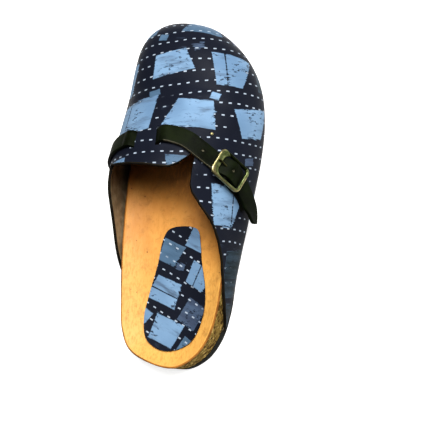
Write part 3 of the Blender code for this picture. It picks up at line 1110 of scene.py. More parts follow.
@dataclass(frozen=True)
class RunningStitch:
    """Rows of running stitches, each row a little out of step with the last. Sizes in millimetres."""

    row_gap: float = 9.0
    pitch: float = 6.6
    length: float = 2.3
    length_fade: float = 0.2
    thick: float = 1.0
    thick_fade: float = 0.15
    row_step: float = 0.37
    wander: float = 7.0
    wander_cloud: Cloud = Cloud(0.02, detail=1.0)

    def group(self) -> NodeTree:
        """Draws the stitches.

        Returns:
            The group, with a mask of the thread.
        """
        g = GroupSketch("running_stitch", ("Place",), ("thread",))
        u, v, _ = g.split(g.given["Place"])
        wander = g.math("MULTIPLY", g.noise(g.given["Place"], self.wander_cloud), self.wander)
        row = g.math("DIVIDE", g.math("ADD", v, wander), self.row_gap)
        across = g.math("MULTIPLY", g.math("SUBTRACT", g.math("FRACT", row), 0.5), self.row_gap)
        stepped = g.math("MULTIPLY_ADD", g.math("FLOOR", row), self.row_step * self.pitch, u)
        along = g.math("SUBTRACT", g.math("FLOORED_MODULO", stepped, self.pitch), self.pitch / 2)
        ways = ((along, self.length, self.length_fade), (across, self.thick, self.thick_fade))
        masks = []
        for way, size, fade in ways:
            edge = Ramp(size / 2 - fade, size / 2 + fade, low=1.0, high=0.0)
            masks.append(g.step(g.math("ABSOLUTE", way), edge))
        g.feed(g.result["thread"], g.math("MULTIPLY", *masks))
        return g.tree


class Tone(Enum):
    """Colour that a patch is dyed over its pale blue, and how strongly."""

    PALE = (ink(116, 144, 173), 0.0)
    DEEP = (ink(64, 86, 106), 0.8)
    GREY = (ink(54, 60, 78), 0.85)
    TEAL = (ink(20, 31, 33), 0.96)
    NAVY = (ink(24, 27, 37), 1.0)


@dataclass(frozen=True)
class Patch:
    """A patch of the print: its middle, half its sizes, its turn in degrees and how it widens upwards."""

    u: float
    v: float
    half_u: float
    half_v: float
    turn: float = 0.0
    taper: float = 0.0
    tone: Tone = Tone.PALE


@dataclass(frozen=True)
class PrintLayout:
    """Patches of one printed piece, and the turn of the whole print about a place on it."""

    name: str
    patches: tuple[Patch, ...]
    turn: float
    about: Pair


UPPER_PRINT = PrintLayout("upper_print", (
    Patch(-8, 286, 19, 6, 3, 0, Tone.DEEP), Patch(50, 275, 12, 8, -6),
    Patch(-47, 273, 13, 9, 7, 0, Tone.GREY), Patch(-26, 254, 14, 10, 8, 0.2, Tone.DEEP),
    Patch(26, 251, 14, 9, -7, -0.25, Tone.DEEP), Patch(58, 244, 8, 7, 4, 0, Tone.GREY),
    Patch(-45, 213, 14, 13, -6, 0.2), Patch(3, 217, 14, 9, 7, -0.25), Patch(47, 208, 13, 13, -6, 0.25),
    Patch(78, 208, 8, 13, 5, 0, Tone.TEAL), Patch(-64, 170, 12, 12, -4), Patch(-26, 176, 19, 14, 8, 0.25),
    Patch(21, 174, 16, 11, -8, -0.3), Patch(68, 168, 13, 11, 7, 0.3), Patch(-33, 139, 9, 4, 4),
    Patch(14, 137, 7, 4.5, -6, 0.3, Tone.DEEP), Patch(97, 148, 9, 13, 4, 0, Tone.GREY),
    Patch(54, 107, 12, 14, -6, 0.25), Patch(94, 104, 11, 15, 4, 0, Tone.DEEP),
    # The two broad teal patches low on the outer quarter are partly print and partly painted shade, darkening
    # the quarter's lower outer side.
    Patch(88, 63, 30, 16, 5, -0.1, Tone.TEAL), Patch(92, 28, 28, 11, -4, 0, Tone.TEAL),
    Patch(-66, 128, 13, 14, 6, 0, Tone.DEEP), Patch(-78, 90, 15, 15, -5, 0.2),
    Patch(-86, 58, 13, 9, 3, 0, Tone.TEAL), Patch(-78, 208, 10, 15, -6, 0, Tone.DEEP),
    Patch(23, 228, 3.6, 2.6, 14, 0, Tone.GREY), Patch(-9, 194, 4.2, 2.4, 10, 0, Tone.DEEP),
    Patch(36, 187, 3.4, 2.6, -18), Patch(86, 186, 4, 3, -8, 0, Tone.DEEP),
    Patch(-5, 240, 3.4, 2.8, -12, 0, Tone.DEEP), Patch(70, 140, 4, 2.6, 10, 0, Tone.GREY),
    Patch(43, 208, 0.4, 17, 5, 0, Tone.NAVY), Patch(-31, 174, 0.4, 14, -5, 0, Tone.NAVY),
    Patch(60, 106, 0.4, 16, 2, 0, Tone.NAVY), Patch(76, 58, 18, 0.4, 3, 0, Tone.NAVY),
), turn=-5.0, about=(0.0, 200.0))
INLAY_PRINT = PrintLayout("inlay_print", (
    Patch(4, 95, 12, 7.5, 3), Patch(-15, 77, 8, 8, 4, 0.15, Tone.DEEP), Patch(14, 72, 9, 8, -5, 0.2),
    Patch(-5, 51, 11, 9, 5, -0.15), Patch(22, 47, 8, 9, -4, 0, Tone.GREY),
    Patch(-24, 46, 4, 8, 0, 0, Tone.TEAL), Patch(-17, 24, 10, 10, -4, 0.15), Patch(10, 27, 11, 9, 5, 0.1),
    Patch(32, 22, 7, 9, -3, 0, Tone.DEEP), Patch(-2, 6, 12, 6, 2, 0, Tone.DEEP), Patch(18, 5, 5, 6, -6),
    Patch(-3, 72, 3, 2.4, 12, 0, Tone.GREY), Patch(12, 72, 0.4, 9, 3, 0, Tone.NAVY),
    Patch(-6, 50, 12, 0.4, 4, 0, Tone.NAVY),
), turn=27.0, about=(3.0, 55.0))


@dataclass(frozen=True)
class Patchwork:
    """Worn indigo patches on navy, with running stitches across the navy and the darker patches."""

    patch_tree: NodeTree
    stitch_tree: NodeTree
    pale: Colour = ink(118, 147, 176)
    mid: Colour = ink(97, 124, 152)
    grey: Colour = ink(72, 86, 104)
    navy: Colour = ink(30, 34, 46)
    dark: Colour = ink(18, 21, 30)
    thread: Colour = ink(156, 168, 182)
    fringe: Cloud = Cloud(detail=3.0, rough=0.6, stretch=(0.10, 0.95, 1.0))
    fray: Cloud = Cloud(0.05, detail=1.0)
    fray_depth: Ramp = Ramp(0.5, 0.68, low=1.6, high=11.0)
    fade: Cloud = Cloud(0.03)
    fade_pale: Ramp = Ramp(0.32, 0.66)
    brush: Cloud = Cloud(detail=4.0, rough=0.62, stretch=(0.035, 0.18, 1.0), turn=62.0)
    brush_grey: Ramp = Ramp(0.5, 0.74, high=0.8)
    dye_span: Pair = (0.3, 0.62)
    dye_uneven: float = 0.14
    smudge: Cloud = Cloud(detail=4.0, rough=0.66, warp=0.5, stretch=(0.2, 0.4, 1.0), turn=-20.0)
    smudge_share: Ramp = Ramp(0.55, 0.62, high=0.85)
    spots: Cloud = Cloud(0.06, detail=1.0)
    smudge_spots: Ramp = Ramp(0.45, 0.56)
    rub_share: Ramp = Ramp(0.6, 0.72, high=0.4)
    rub_spots: Ramp = Ramp(0.52, 0.6)
    sewn_spots: Ramp = Ramp(0.36, 0.42)

    def laid(self, g: GroupSketch, layout: PrintLayout) -> Socket:
        """Turns the print about its place on the piece.

        Args:
            g: Sketch of the group.
            layout: Layout with the turn.

        Returns:
            Places in the print's own frame.
        """
        middle = Vector((*layout.about, 0.0))
        turn = Matrix.Rotation(math.radians(layout.turn), 3, "Z")
        place = g.stretch(g.given["Place"], (1.0, 1.0, 1.0), layout.turn)
        place.node.inputs["Location"].default_value = middle - turn @ middle
        return place

    def masks(self, g: GroupSketch, place: Socket, layout: PrintLayout) -> dict[Tone, object]:
        """Draws the patches with frayed edges.

        Args:
            g: Sketch of the group.
            place: Places in the print's own frame.
            layout: Where the patches lie.

        Returns:
            A mask of the patches of each tone.
        """
        depth = g.step(g.noise(place, self.fray), self.fray_depth)
        ragged = g.math("MULTIPLY", g.math("SUBTRACT", g.noise(place, self.fringe), 0.5), depth)
        masks: dict[Tone, object] = {tone: 0.0 for tone in Tone}
        for patch in layout.patches:
            drawn = g.group(
                self.patch_tree, Place=place, Centre=(patch.u, patch.v, 0.0), turn=math.radians(patch.turn),
                half_u=patch.half_u, half_v=patch.half_v, taper=patch.taper, ragged=ragged,
            )
            masks[patch.tone] = g.math("MAXIMUM", masks[patch.tone], drawn.outputs[0])
        return masks

    def group(self, layout: PrintLayout) -> NodeTree:
        """Draws the print of one piece.

        Args:
            layout: Where the patches lie.

        Returns:
            The group, with the print's colour.
        """
        g = GroupSketch(layout.name, ("Place",), ("Colour",))
        place = self.laid(g, layout)
        masks = self.masks(g, place, layout)
        kinds = (self.fade, self.brush, self.spots, self.smudge)
        faded, brushed, spots, smudge = (g.noise(place, cloud) for cloud in kinds)
        smudged = g.math("MULTIPLY", g.step(smudge, self.smudge_share), g.step(spots, self.smudge_spots))
        colour = g.mix(g.step(faded, self.fade_pale), self.mid, self.pale)
        colour = g.mix(g.step(brushed, self.brush_grey), colour, self.grey)
        dyed: object = 0.0
        for tone in (Tone.DEEP, Tone.GREY, Tone.TEAL):
            dye, strength = tone.value
            taken = g.step(brushed, Ramp(*self.dye_span, strength - self.dye_uneven, strength))
            colour = g.mix(g.math("MULTIPLY", masks[tone], taken), colour, dye)
            dyed = g.math("MAXIMUM", dyed, masks[tone])
        kept = g.math("SUBTRACT", 1.0, g.math("MAXIMUM", smudged, masks[Tone.NAVY]))
        cover = g.math("MULTIPLY", g.math("MAXIMUM", masks[Tone.PALE], dyed), kept)
        rubbed = g.math("MULTIPLY", g.step(brushed, self.rub_share), g.step(spots, self.rub_spots))
        ground = g.mix(rubbed, g.mix(faded, self.dark, self.navy), self.grey)
        colour = g.mix(cover, ground, colour)
        plain = g.math("MULTIPLY", cover, g.math("MAXIMUM", masks[Tone.PALE], masks[Tone.TEAL]))
        sewn = g.math("MULTIPLY", g.step(faded, self.sewn_spots), g.math("SUBTRACT", 1.0, plain))
        thread = g.math("MULTIPLY", g.group(self.stitch_tree, Place=place).outputs[0], sewn)
        g.feed(g.result["Colour"], g.mix(thread, colour, self.thread))
        return g.tree


# Finishes


WHITE = (1.0, 1.0, 1.0, 1.0)
BLACK = (0.0, 0.0, 0.0, 1.0)
NOISE_SPAN = (0.3, 0.7)
GRAIN_DEPTH = 0.00012


@dataclass(frozen=True)
class Finish:
    """A surface finish: its name, how rough it is, and how its material is drawn."""

    name: str
    roughness: float

    def paint(self, s: Sketch) -> Sockets:
        """Draws the finish, each kind in its own way, and says what the shader's sockets get."""
        raise NotImplementedError

    def made(self) -> Material:
        """Makes the finish's material.

        Returns:
            The material.
        """
        material = bpy.data.materials.new(self.name)
        material.use_nodes = True
        shader = material.node_tree.nodes["Principled BSDF"]
        s = Sketch(material.node_tree)
        for name, value in ({"Roughness": self.roughness} | self.paint(s)).items():
            s.feed(shader.inputs[name], value)
        return material


@dataclass(frozen=True)
class PrintedLeather(Finish):
    """Smooth leather with the patchwork print."""

    print_tree: NodeTree
    grain_tree: NodeTree
    grain_size: float = 0.9
    smoother: float = 0.06
    rougher: float = 0.08
    gleam: float = 0.08
    relief: Relief = Relief(GRAIN_DEPTH, 0.5)

    def paint(self, s: Sketch) -> Sockets:
        """Draws print and grain.

        Args:
            s: Sketch of the material.

        Returns:
            What the shader's sockets get.
        """
        place = s.flat_place()
        drawn = s.group(self.print_tree, Place=place)
        grain = s.group(self.grain_tree, Place=place, size=self.grain_size)
        rough = Ramp(*NOISE_SPAN, self.roughness - self.smoother, self.roughness + self.rougher)
        return {
            "Base Color": drawn.outputs["Colour"],
            "Roughness": s.step(grain.outputs["mottle"], rough),
            "Specular IOR Level": self.gleam,
            "Normal": s.bump(grain.outputs["height"], self.relief),
        }


@dataclass(frozen=True)
class Leather(Finish):
    """Plain dyed leather: two tones, grain and scuffs."""

    tones: Tones
    grain_tree: NodeTree
    grain_size: float
    gleam: float = 0.3
    uneven: float = 0.08
    relief: Relief = Relief(GRAIN_DEPTH, 0.6)

    def paint(self, s: Sketch) -> Sockets:
        """Draws tone, grain and relief.

        Args:
            s: Sketch of the material.

        Returns:
            What the shader's sockets get.
        """
        grain = s.group(self.grain_tree, Place=s.solid_place(), size=self.grain_size)
        mottle = grain.outputs["mottle"]
        rough = Ramp(*NOISE_SPAN, self.roughness - self.uneven, self.roughness + self.uneven)
        return {
            "Base Color": s.mix(s.step(mottle, Ramp(*NOISE_SPAN)), *self.tones),
            "Roughness": s.step(mottle, rough),
            "Specular IOR Level": self.gleam,
            "Normal": s.bump(grain.outputs["height"], self.relief),
        }


@dataclass(frozen=True)
class FootbedLeather(Finish):
    """Tan leather with fine fibres, pale at the heel, partly rubbed and partly a painted highlight, and
    darker under the vamp, a painted shade.
    """

    tones: Tones
    # Pale heel tone: partly rubbed leather, partly a painted highlight.
    rubbed: Colour
    # Dark brown of specks and stains, also used for the painted shade under the vamp.
    speck_stain_and_shade: Colour
    grain_tree: NodeTree
    grain_size: float = 0.55
    fibre: Cloud = Cloud(detail=4.0, rough=0.6, stretch=(0.9, 0.25, 0.5))
    fibre_share: Ramp = Ramp(0.45, 0.75, high=0.75)
    streak: Cloud = Cloud(detail=4.0, rough=0.55, stretch=(0.06, 0.025, 0.05))
    # Pale heel, partly rubbed and partly a painted highlight.
    heel_rub_and_highlight: Ramp = Ramp(-22.0, -82.0, high=0.75)
    # Painted shade under the vamp, slanted towards the outer side.
    vamp_painted_shade: Ramp = Ramp(-38.0, 14.0, high=0.65)
    shade_lean: float = 0.8
    stain: Cloud = Cloud(0.15, detail=5.0, rough=0.68, warp=0.4)
    stain_share: Ramp = Ramp(0.48, 0.74, high=0.34)
    speck_scale: float = 0.16
    speck_dots: Ramp = Ramp(0.06, 0.12, low=1.0, high=0.0)
    speck_spots: Ramp = Ramp(0.5, 0.6, high=0.7)
    gleam: float = 0.25
    uneven: float = 0.07
    relief: Relief = Relief(GRAIN_DEPTH, 0.5)

    def paint(self, s: Sketch) -> Sockets:
        """Draws fibres, the pale heel, the painted shade under the vamp, stains, specks and grain.

        Args:
            s: Sketch of the material.

        Returns:
            What the shader's sockets get.
        """
        place = s.solid_place()
        grain = s.group(self.grain_tree, Place=place, size=self.grain_size)
        fibres, streaks, stains = (s.noise(place, cloud) for cloud in (self.fibre, self.streak, self.stain))
        across, along, _ = s.split(place)
        # Where the painted shade under the vamp starts, slanted towards the outer side.
        toe = s.math("MULTIPLY_ADD", across, self.shade_lean, along)
        colour = s.mix(s.step(streaks, Ramp(*NOISE_SPAN)), *self.tones)
        # Pale heel: partly rubbed leather, partly a painted highlight.
        colour = s.mix(s.step(along, self.heel_rub_and_highlight), colour, self.rubbed)
        # Painted shade under the vamp.
        colour = s.mix(s.step(toe, self.vamp_painted_shade), colour, self.speck_stain_and_shade)
        colour = s.mix(s.step(fibres, self.fibre_share), colour, self.tones[1])
        colour = s.mix(s.step(stains, self.stain_share), colour, self.speck_stain_and_shade)
        dots = s.step(s.cells(place, self.speck_scale), self.speck_dots)
        specks = s.math("MULTIPLY", dots, s.step(streaks, self.speck_spots))
        rough = Ramp(*NOISE_SPAN, self.roughness - self.uneven, self.roughness + self.uneven)
        return {
            "Base Color": s.mix(specks, colour, self.speck_stain_and_shade),
            "Roughness": s.step(fibres, rough),
            "Specular IOR Level": self.gleam,
            "Normal": s.bump(s.math("ADD", grain.outputs["height"], fibres), self.relief),
        }


@dataclass(frozen=True)
class Cork(Finish):
    """Pressed cork: grains of several tones with dark flecks and pits."""

    tones: Tones = (ink(172, 146, 80), ink(140, 114, 58))
    dark_grain: Colour = ink(92, 68, 32)
    dark_pick: Ramp = Ramp(0.80, 0.84)
    pale_grain: Colour = ink(216, 186, 112)
    pale_pick: Ramp = Ramp(0.10, 0.14, low=1.0, high=0.0)
    grain_scale: float = 0.5
    fleck: Colour = ink(92, 66, 30)
    fleck_cloud: Cloud = Cloud(0.9, detail=4.0, rough=0.65)
    fleck_share: Ramp = Ramp(0.58, 0.72, high=0.7)
    fleck_height: float = 0.8
    seam: Colour = ink(70, 48, 22)
    seam_share: Ramp = Ramp(0.0, 0.09, low=0.55, high=0.0)
    seam_pit: Ramp = Ramp(0.0, 0.16)
    relief: Relief = Relief(0.0006, 0.7)
    gleam: float = 0.1

    def paint(self, s: Sketch) -> Sockets:
        """Draws grains, flecks and pits.

        Args:
            s: Sketch of the material.

        Returns:
            What the shader's sockets get.
        """
        place = s.solid_place()
        tone, pick, _ = s.split(s.cells(place, self.grain_scale, output="Color"))
        seams = s.cells(place, self.grain_scale, "DISTANCE_TO_EDGE")
        fine = s.noise(place, self.fleck_cloud)
        colour = s.mix(tone, *self.tones)
        colour = s.mix(s.step(pick, self.dark_pick), colour, self.dark_grain)
        colour = s.mix(s.step(pick, self.pale_pick), colour, self.pale_grain)
        colour = s.mix(s.step(fine, self.fleck_share), colour, self.fleck)
        height = s.math("ADD", s.step(seams, self.seam_pit), s.math("MULTIPLY", fine, self.fleck_height))
        return {
            "Base Color": s.mix(s.step(seams, self.seam_share), colour, self.seam),
            "Specular IOR Level": self.gleam,
            "Normal": s.bump(height, self.relief),
        }


class FoamFace(Enum):
    """Which face of the foam outsole a finish is for."""

    EDGE = "edge"
    TREAD = "tread"


@dataclass(frozen=True)
class FoamRubber(Finish):
    """Black foam rubber with fine pores; the walked-on face has a pressed tread of waves."""

    face: FoamFace
    tones: Tones = (ink(20, 21, 17), ink(36, 38, 31))
    tone: Cloud = Cloud(0.08, detail=3.0)
    dust: Colour = ink(74, 70, 60)
    dust_share: Ramp = Ramp(0.4, 0.65, high=0.55)
    pore_scale: float = 1.4
    pore_wall: Ramp = Ramp(0.05, 0.35)
    pore_relief: Relief = Relief(0.00025, 0.5)
    swing: float = 2.6
    swing_rate: float = 0.55
    wave_rate: float = 0.78
    wave_rib: Ramp = Ramp(-0.45, 0.15)
    wave_relief: Relief = Relief(0.0015, 0.9)
    gleam: float = 0.12

    def paint(self, s: Sketch) -> Sockets:
        """Draws pores, tone, tread and floor dust.

        Args:
            s: Sketch of the material.

        Returns:
            What the shader's sockets get.
        """
        place = s.solid_place()
        pores = s.step(s.cells(place, self.pore_scale), self.pore_wall)
        tone = s.noise(place, self.tone)
        colour = s.mix(tone, *self.tones)
        normal = s.bump(pores, self.pore_relief)
        if self.face is FoamFace.TREAD:
            across, along, _ = s.split(place)
            sway = s.math("SINE", s.math("MULTIPLY", across, self.swing_rate))
            swung = s.math("MULTIPLY_ADD", sway, self.swing, along)
            ribs = s.step(s.math("SINE", s.math("MULTIPLY", swung, self.wave_rate)), self.wave_rib)
            normal = s.bump(ribs, self.wave_relief, normal)
            dusty = s.math("MULTIPLY", ribs, s.step(tone, self.dust_share))
            colour = s.mix(dusty, colour, self.dust)
        return {"Base Color": colour, "Specular IOR Level": self.gleam, "Normal": normal}


@dataclass(frozen=True)
class Brass(Finish):
    """Antique brass: bright where it is rubbed, green and dark where it is not."""

    tones: Tones
    tarnish: Cloud = Cloud(0.35, detail=4.0, rough=0.65)
    tarnish_span: Pair = (0.35, 0.65)
    rougher: float = 0.15
    scratch: Cloud = Cloud(stretch=(0.4, 3.0, 3.0), turn=35.0)
    relief: Relief = Relief(0.00005, 0.4)

    def paint(self, s: Sketch) -> Sockets:
        """Draws tarnish and fine scratches.

        Args:
            s: Sketch of the material.

        Returns:
            What the shader's sockets get.
        """
        place = s.solid_place()
        tarnish = s.noise(place, self.tarnish)
        rough = Ramp(*self.tarnish_span, self.roughness, self.roughness + self.rougher)
        return {
            "Base Color": s.mix(s.step(tarnish, Ramp(*self.tarnish_span)), *self.tones),
            "Roughness": s.step(tarnish, rough),
            "Metallic": 1.0,
            "Normal": s.bump(s.noise(place, self.scratch), self.relief),
        }


@dataclass(frozen=True)
class PaleFloor(Finish):
    """Even pale floor that looks a little brighter than it is lit."""

    greys: Pair
    glow: float
    tone: Cloud = Cloud(0.004)

    def paint(self, s: Sketch) -> Sockets:
        """Draws a slow change of tone and the glow that the camera sees.

        Args:
            s: Sketch of the material.

        Returns:
            What the shader's sockets get.
        """
        low, high = ((grey, grey, grey, 1.0) for grey in self.greys)
        seen = s.node("LightPath").outputs["Is Camera Ray"]
        return {
            "Base Color": s.mix(s.noise(s.solid_place(), self.tone), low, high),
            "Emission Color": WHITE,
            "Emission Strength": s.math("MULTIPLY", seen, self.glow),
        }


@dataclass(frozen=True)
class PaleWall(Finish):
    """Even wall that glows as brightly as the air, and brighter where the camera sees it."""

    air: float
    extra: float

    def paint(self, s: Sketch) -> Sockets:
        """Draws the glow on an unlit wall.

        Args:
            s: Sketch of the material.

        Returns:
            What the shader's sockets get.
        """
        seen = s.node("LightPath").outputs["Is Camera Ray"]
        return {
            "Base Color": BLACK,
            "Specular IOR Level": 0.0,
            "Emission Color": WHITE,
            "Emission Strength": s.math("MULTIPLY_ADD", seen, self.extra, self.air),
        }


class FinishBook:
    """Every finish of the shoe, made once."""

    def __init__(self) -> None:
        """Draws the shared groups, then the materials."""
        grain = LeatherGrain().group()
        patchwork = Patchwork(RaggedPatch().group(), RunningStitch().group())
        upper_print, inlay_print = (patchwork.group(layout) for layout in (UPPER_PRINT, INLAY_PRINT))
        self.printed = PrintedLeather("upper_print_leather", 0.42, upper_print, grain).made()
        self.inlay = PrintedLeather("inlay_print_leather", 0.46, inlay_print, grain).made()
        self.lining = Leather(
            "lining_suede", 0.85, (ink(160, 144, 116), ink(121, 105, 80)), grain, grain_size=0.5
        ).made()
        self.raw_edge = Leather(
            "raw_edge", 0.7, (ink(38, 34, 26), ink(20, 18, 14)), grain, grain_size=0.6, gleam=0.06
        ).made()
        # The pale heel tone is partly rubbed leather and partly a painted highlight; the dark brown also
        # paints the shade under the vamp.
        self.tan = FootbedLeather(
            "tan_footbed", 0.5, (ink(206, 149, 77), ink(184, 126, 61)), rubbed=ink(217, 168, 92),
            speck_stain_and_shade=ink(96, 60, 28), grain_tree=grain,
        ).made()
        # Darker brown rim: the leather's dark edge, and partly a painted shade on the rim's outer slope.
        self.tan_rim = Leather(
            "tan_rim", 0.7, (ink(164, 112, 54), ink(116, 76, 36)), grain, grain_size=0.6, gleam=0.1
        ).made()
        self.black = Leather(
            "black_strap", 0.5, (ink(8, 11, 5), ink(24, 31, 14)), grain, grain_size=0.9, gleam=0.05
        ).made()
        self.cut_edge = Leather(
            "strap_cut_edge", 0.6, (ink(90, 87, 72), ink(70, 67, 55)), grain, grain_size=0.5, gleam=0.1
        ).made()
        self.tab = Leather(
            "black_tab", 0.5, (ink(12, 13, 9), ink(20, 22, 15)), grain, grain_size=0.9, gleam=0.08
        ).made()
        self.cork = Cork("pressed_cork", 0.85).made()
        self.foam = FoamRubber("foam_edge", 0.7, FoamFace.EDGE).made()
        self.tread = FoamRubber("foam_tread", 0.75, FoamFace.TREAD).made()
        self.brass = Brass("worn_brass", 0.34, (ink(146, 154, 106), ink(92, 102, 64))).made()
        # Dark brass: painted shade on the buckle frame's far rail.
        self.painted_shade = Brass("painted_shade_brass", 0.42, (ink(46, 54, 28), ink(24, 30, 15))).made()
        self.prong = Brass("dark_brass", 0.36, (ink(92, 90, 56), ink(52, 52, 30))).made()
        # Bright brass: on the buckle frame a painted highlight on its lit faces over partly rubbed metal;
        # also the whole rivet.
        self.rubbed = Brass("rubbed_brass", 0.3, (ink(190, 180, 134), ink(136, 130, 92))).made()


# Pieces


@dataclass
class Sole:
    """Outsole, cork footbed and insole, on rays from the middle line; shares are of a ray's length."""

    finishes: FinishBook
    rays: Rays = field(default_factory=Rays)
    insole_thick: float = 2.0
    outsole_edge: float = 1.4
    edge_turns: tuple[float, ...] = (22, 45, 68, 90)
    tread_bands: int = 8
    deck_shares: tuple[float, ...] = (1, 0.96, 0.7, 0.35, 0)
    cork_under: tuple[float, ...] = (0, 0.5, 0.97, 1)
    cork_bands: int = 8
    cork_top: tuple[float, ...] = (0.97, 0.9, 0.7, 0.4, 0)
    insole_under: tuple[float, ...] = (0, 0.4, 0.8, 0.97, 1)
    rim_round: tuple[Pair, ...] = ((1.0, 1.5), (0.99, 0.8), (0.972, 0.32), (0.95, 0.08))
    rim_bands: int = 7
    insole_rings: int = 26
    insole_flat: float = 0.93
    insole_crowding: float = 1.3

    def outsole(self) -> Object:
        """Builds the black outsole with an arch, a toe spring and an eased lower edge.

        Returns:
            The outsole.
        """
        outline = pushed_out(LAST.sole, OUTSOLE.at("reach", LAST.sole[:, 1]))
        inset = pushed_out(outline, -self.outsole_edge)
        rings = []
        for share in np.linspace(0, 1, self.tread_bands + 1):
            plan = self.rays.ring(inset, share)
            rings.append(np.column_stack([plan, OUTSOLE.at("lift", plan[:, 1])]))
        low = OUTSOLE.at("lift", self.rays.ring(outline, 1)[:, 1])
        for turn in np.radians(self.edge_turns):
            ease = self.outsole_edge * (math.sin(turn) - 1)
            plan = self.rays.ring(pushed_out(outline, ease), 1)
            rings.append(np.column_stack([plan, low + self.outsole_edge * (1 - math.cos(turn))]))
        for share in self.deck_shares:
            plan = self.rays.ring(outline, share)
            rings.append(np.column_stack([plan, OUTSOLE.at("deck", plan[:, 1])]))
        materials = [self.finishes.foam, self.finishes.tread]
        piece = ring_solid("foam_outsole", rings, materials, self.tread_bands)
        return fitted(piece, "outsole_foam", "outsole")

    def cork(self) -> Object:
        """Builds the cork body between outsole and insole.

        Returns:
            The cork body.
        """
        rings = []
        for share in self.cork_under:
            plan = self.rays.ring(LAST.sole, share)
            rings.append(np.column_stack([plan, OUTSOLE.at("deck", plan[:, 1]) + LAST.piece_gap]))
        top = self.insole_thick + LAST.piece_gap
        low, high = rings[-1], self.rays.layer(1, top)
        rings += [low + share * (high - low) for share in np.linspace(0, 1, self.cork_bands + 1)[1:]]
        rings += [self.rays.layer(share, top) for share in self.cork_top]
        return fitted(ring_solid("cork_body", rings, [self.finishes.cork]), "cork", "cork_footbed")

    def insole(self) -> Object:
        """Builds the tan leather cover of the footbed, rounded over at its rim.

        Returns:
            The insole.
        """
        spread = (1 - np.linspace(0, 1, self.insole_rings)) ** self.insole_crowding
        shares = self.insole_flat * (1 - spread)
        rings = [self.rays.layer(share, self.insole_thick) for share in self.insole_under]
        rings += [self.rays.layer(share, drop) for share, drop in self.rim_round]
        rings += [self.rays.layer(share, 0) for share in shares[::-1]]
        # The rim bands take the darker rim brown, partly the leather's dark edge and partly painted shade.
        materials = [self.finishes.tan, self.finishes.tan_rim]
        piece = ring_solid("tan_insole", rings, materials, self.rim_bands)
        return fitted(piece, "insole_leather", "insole")


@dataclass
class HeelInlay:
    """Printed pad stuck on the heel of the insole."""

    finishes: FinishBook
    centre: Pair = (2.6, 52.0)
    gap: float = 0.45
    thick: float = 1.3
    ease: float = 0.35
    mid_ease: float = 0.3
    outline_steps: int = 12
    under_shares: tuple[float, ...] = (0, 0.5, 0.97, 1)
    top_rings: int = 22
    edge_bands: int = 5

    def build(self) -> Object:
        """Builds the pad with an eased edge, lying on the insole.

        Returns:
            The pad.
        """
        outline = INLAY_OUTLINE.closed_outline(self.outline_steps)
        centre = np.array(self.centre)
        inner_edge = pushed_out(outline, -self.ease)
        top = self.gap + self.thick
        part_way = self.mid_ease * self.ease
        levels = [(outline, share, self.gap) for share in self.under_shares]
        levels += [(outline, 1.0, top - self.ease), (pushed_out(outline, -part_way), 1.0, top - part_way)]
        levels += [(inner_edge, share, top) for share in np.linspace(1, 0, self.top_rings)]
        rings = []
        for line, share, height in levels:
            plan = centre + share * (line - centre)
            rings.append(np.column_stack([plan, LAST.footbed_at(plan) + height]))
        materials = [self.finishes.inlay, self.finishes.raw_edge]
        piece = ring_solid("printed_inlay", rings, materials, self.edge_bands)
        return fitted(piece, "inlay_leather", "heel_inlay")


@dataclass(frozen=True)
class Fold:
    """A soft fold of the leather on its flat places: middle, half its sizes, turn in degrees and height."""

    u: float
    v: float
    half_length: float
    half_width: float
    turn: float
    height: float

    def height_at(self, places: Array) -> Array:
        """How far the fold lifts the leather.

        Args:
            places: Flat places on the leather, in millimetres.

        Returns:
            Height at each place.
        """
        angle = math.radians(self.turn)
        du, dv = places[..., 0] - self.u, places[..., 1] - self.v
        along = du * math.cos(angle) + dv * math.sin(angle)
        across = dv * math.cos(angle) - du * math.sin(angle)
        return self.height * np.exp(-((along / self.half_length) ** 2) - (across / self.half_width) ** 2)


UPPER_FOLDS = (
    Fold(-14, 200, 24, 4.5, 8, -0.5), Fold(-16, 191, 20, 4.0, 3, -0.45), Fold(24, 196, 20, 4.5, -12, -0.5),
    Fold(38, 184, 16, 4.0, -18, -0.4), Fold(-3, 234, 16, 9, 0, -0.5), Fold(-2, 146, 16, 7, 4, -0.6),
    Fold(-20, 157, 5, 11, 0, -0.5), Fold(14, 157, 5, 11, -8, -0.5), Fold(70, 96, 14, 6, -40, -0.6),
    Fold(-62, 104, 14, 7, 35, -0.6), Fold(-58, 190, 16, 6, 60, -0.45), Fold(64, 190, 18, 7, -62, -0.45),
)


@dataclass(frozen=True)
class StrapCut:
    """Sizes of the instep strap; holes are rows of its route."""

    width: float = 13.0
    thick: float = 2.2
    edge: float = 0.45
    under_gap: float = 0.5
    steps: int = 240
    holes: tuple[float, ...] = (13.2, 16.1)
    hole_radius: float = 1.0
    hole_depth: float = 2.0
    hole_sides: int = 20


STRAP = StrapCut()
UNDER_FLAP = -(LAST.wall + STRAP.under_gap + STRAP.thick)
STRAP_ROUTE = Table("girth s lift", (
    (2.86, 141.0, 0.4), (2.4, 143.0, 0.4), (2.0, 145.5, 0.4), (1.6, 149.8, 0.4), (1.38, 153.2, 0.4),
    (1.25, 155.0, 0.4), (1.18, 155.7, 0.7), (1.105, 156.2, UNDER_FLAP), (1.04, 156.8, UNDER_FLAP),
    (0.95, 157.2, UNDER_FLAP), (0.875, 157.6, 0.8), (0.80, 157.2, 0.5), (0.70, 154.2, 0.6),
    (0.593, 148.0, 0.9), (0.502, 142.6, 1.1), (0.437, 138.8, 3.0), (0.371, 135.5, 6.7),
    (0.311, 132.2, 4.6), (0.254, 128.9, 2.05), (0.158, 120.8, 2.2), (0.099, 112.6, 4.5),
    (0.083, 104.2, 6.6),
))
BUCKLE_ROW = 16
TAB_ROUTE = Table("girth s lift", (
    (0.106, 114.2, 0.5), (0.14, 118.6, 0.5), (0.18, 122.4, 0.6), (0.235, 126.6, 0.6), (0.30, 130.2, 0.7),
))


class UpperFace(IntEnum):
    """Material slots of the upper."""

    PRINT = 0
    LINING = 1
    RAW_EDGE = 2


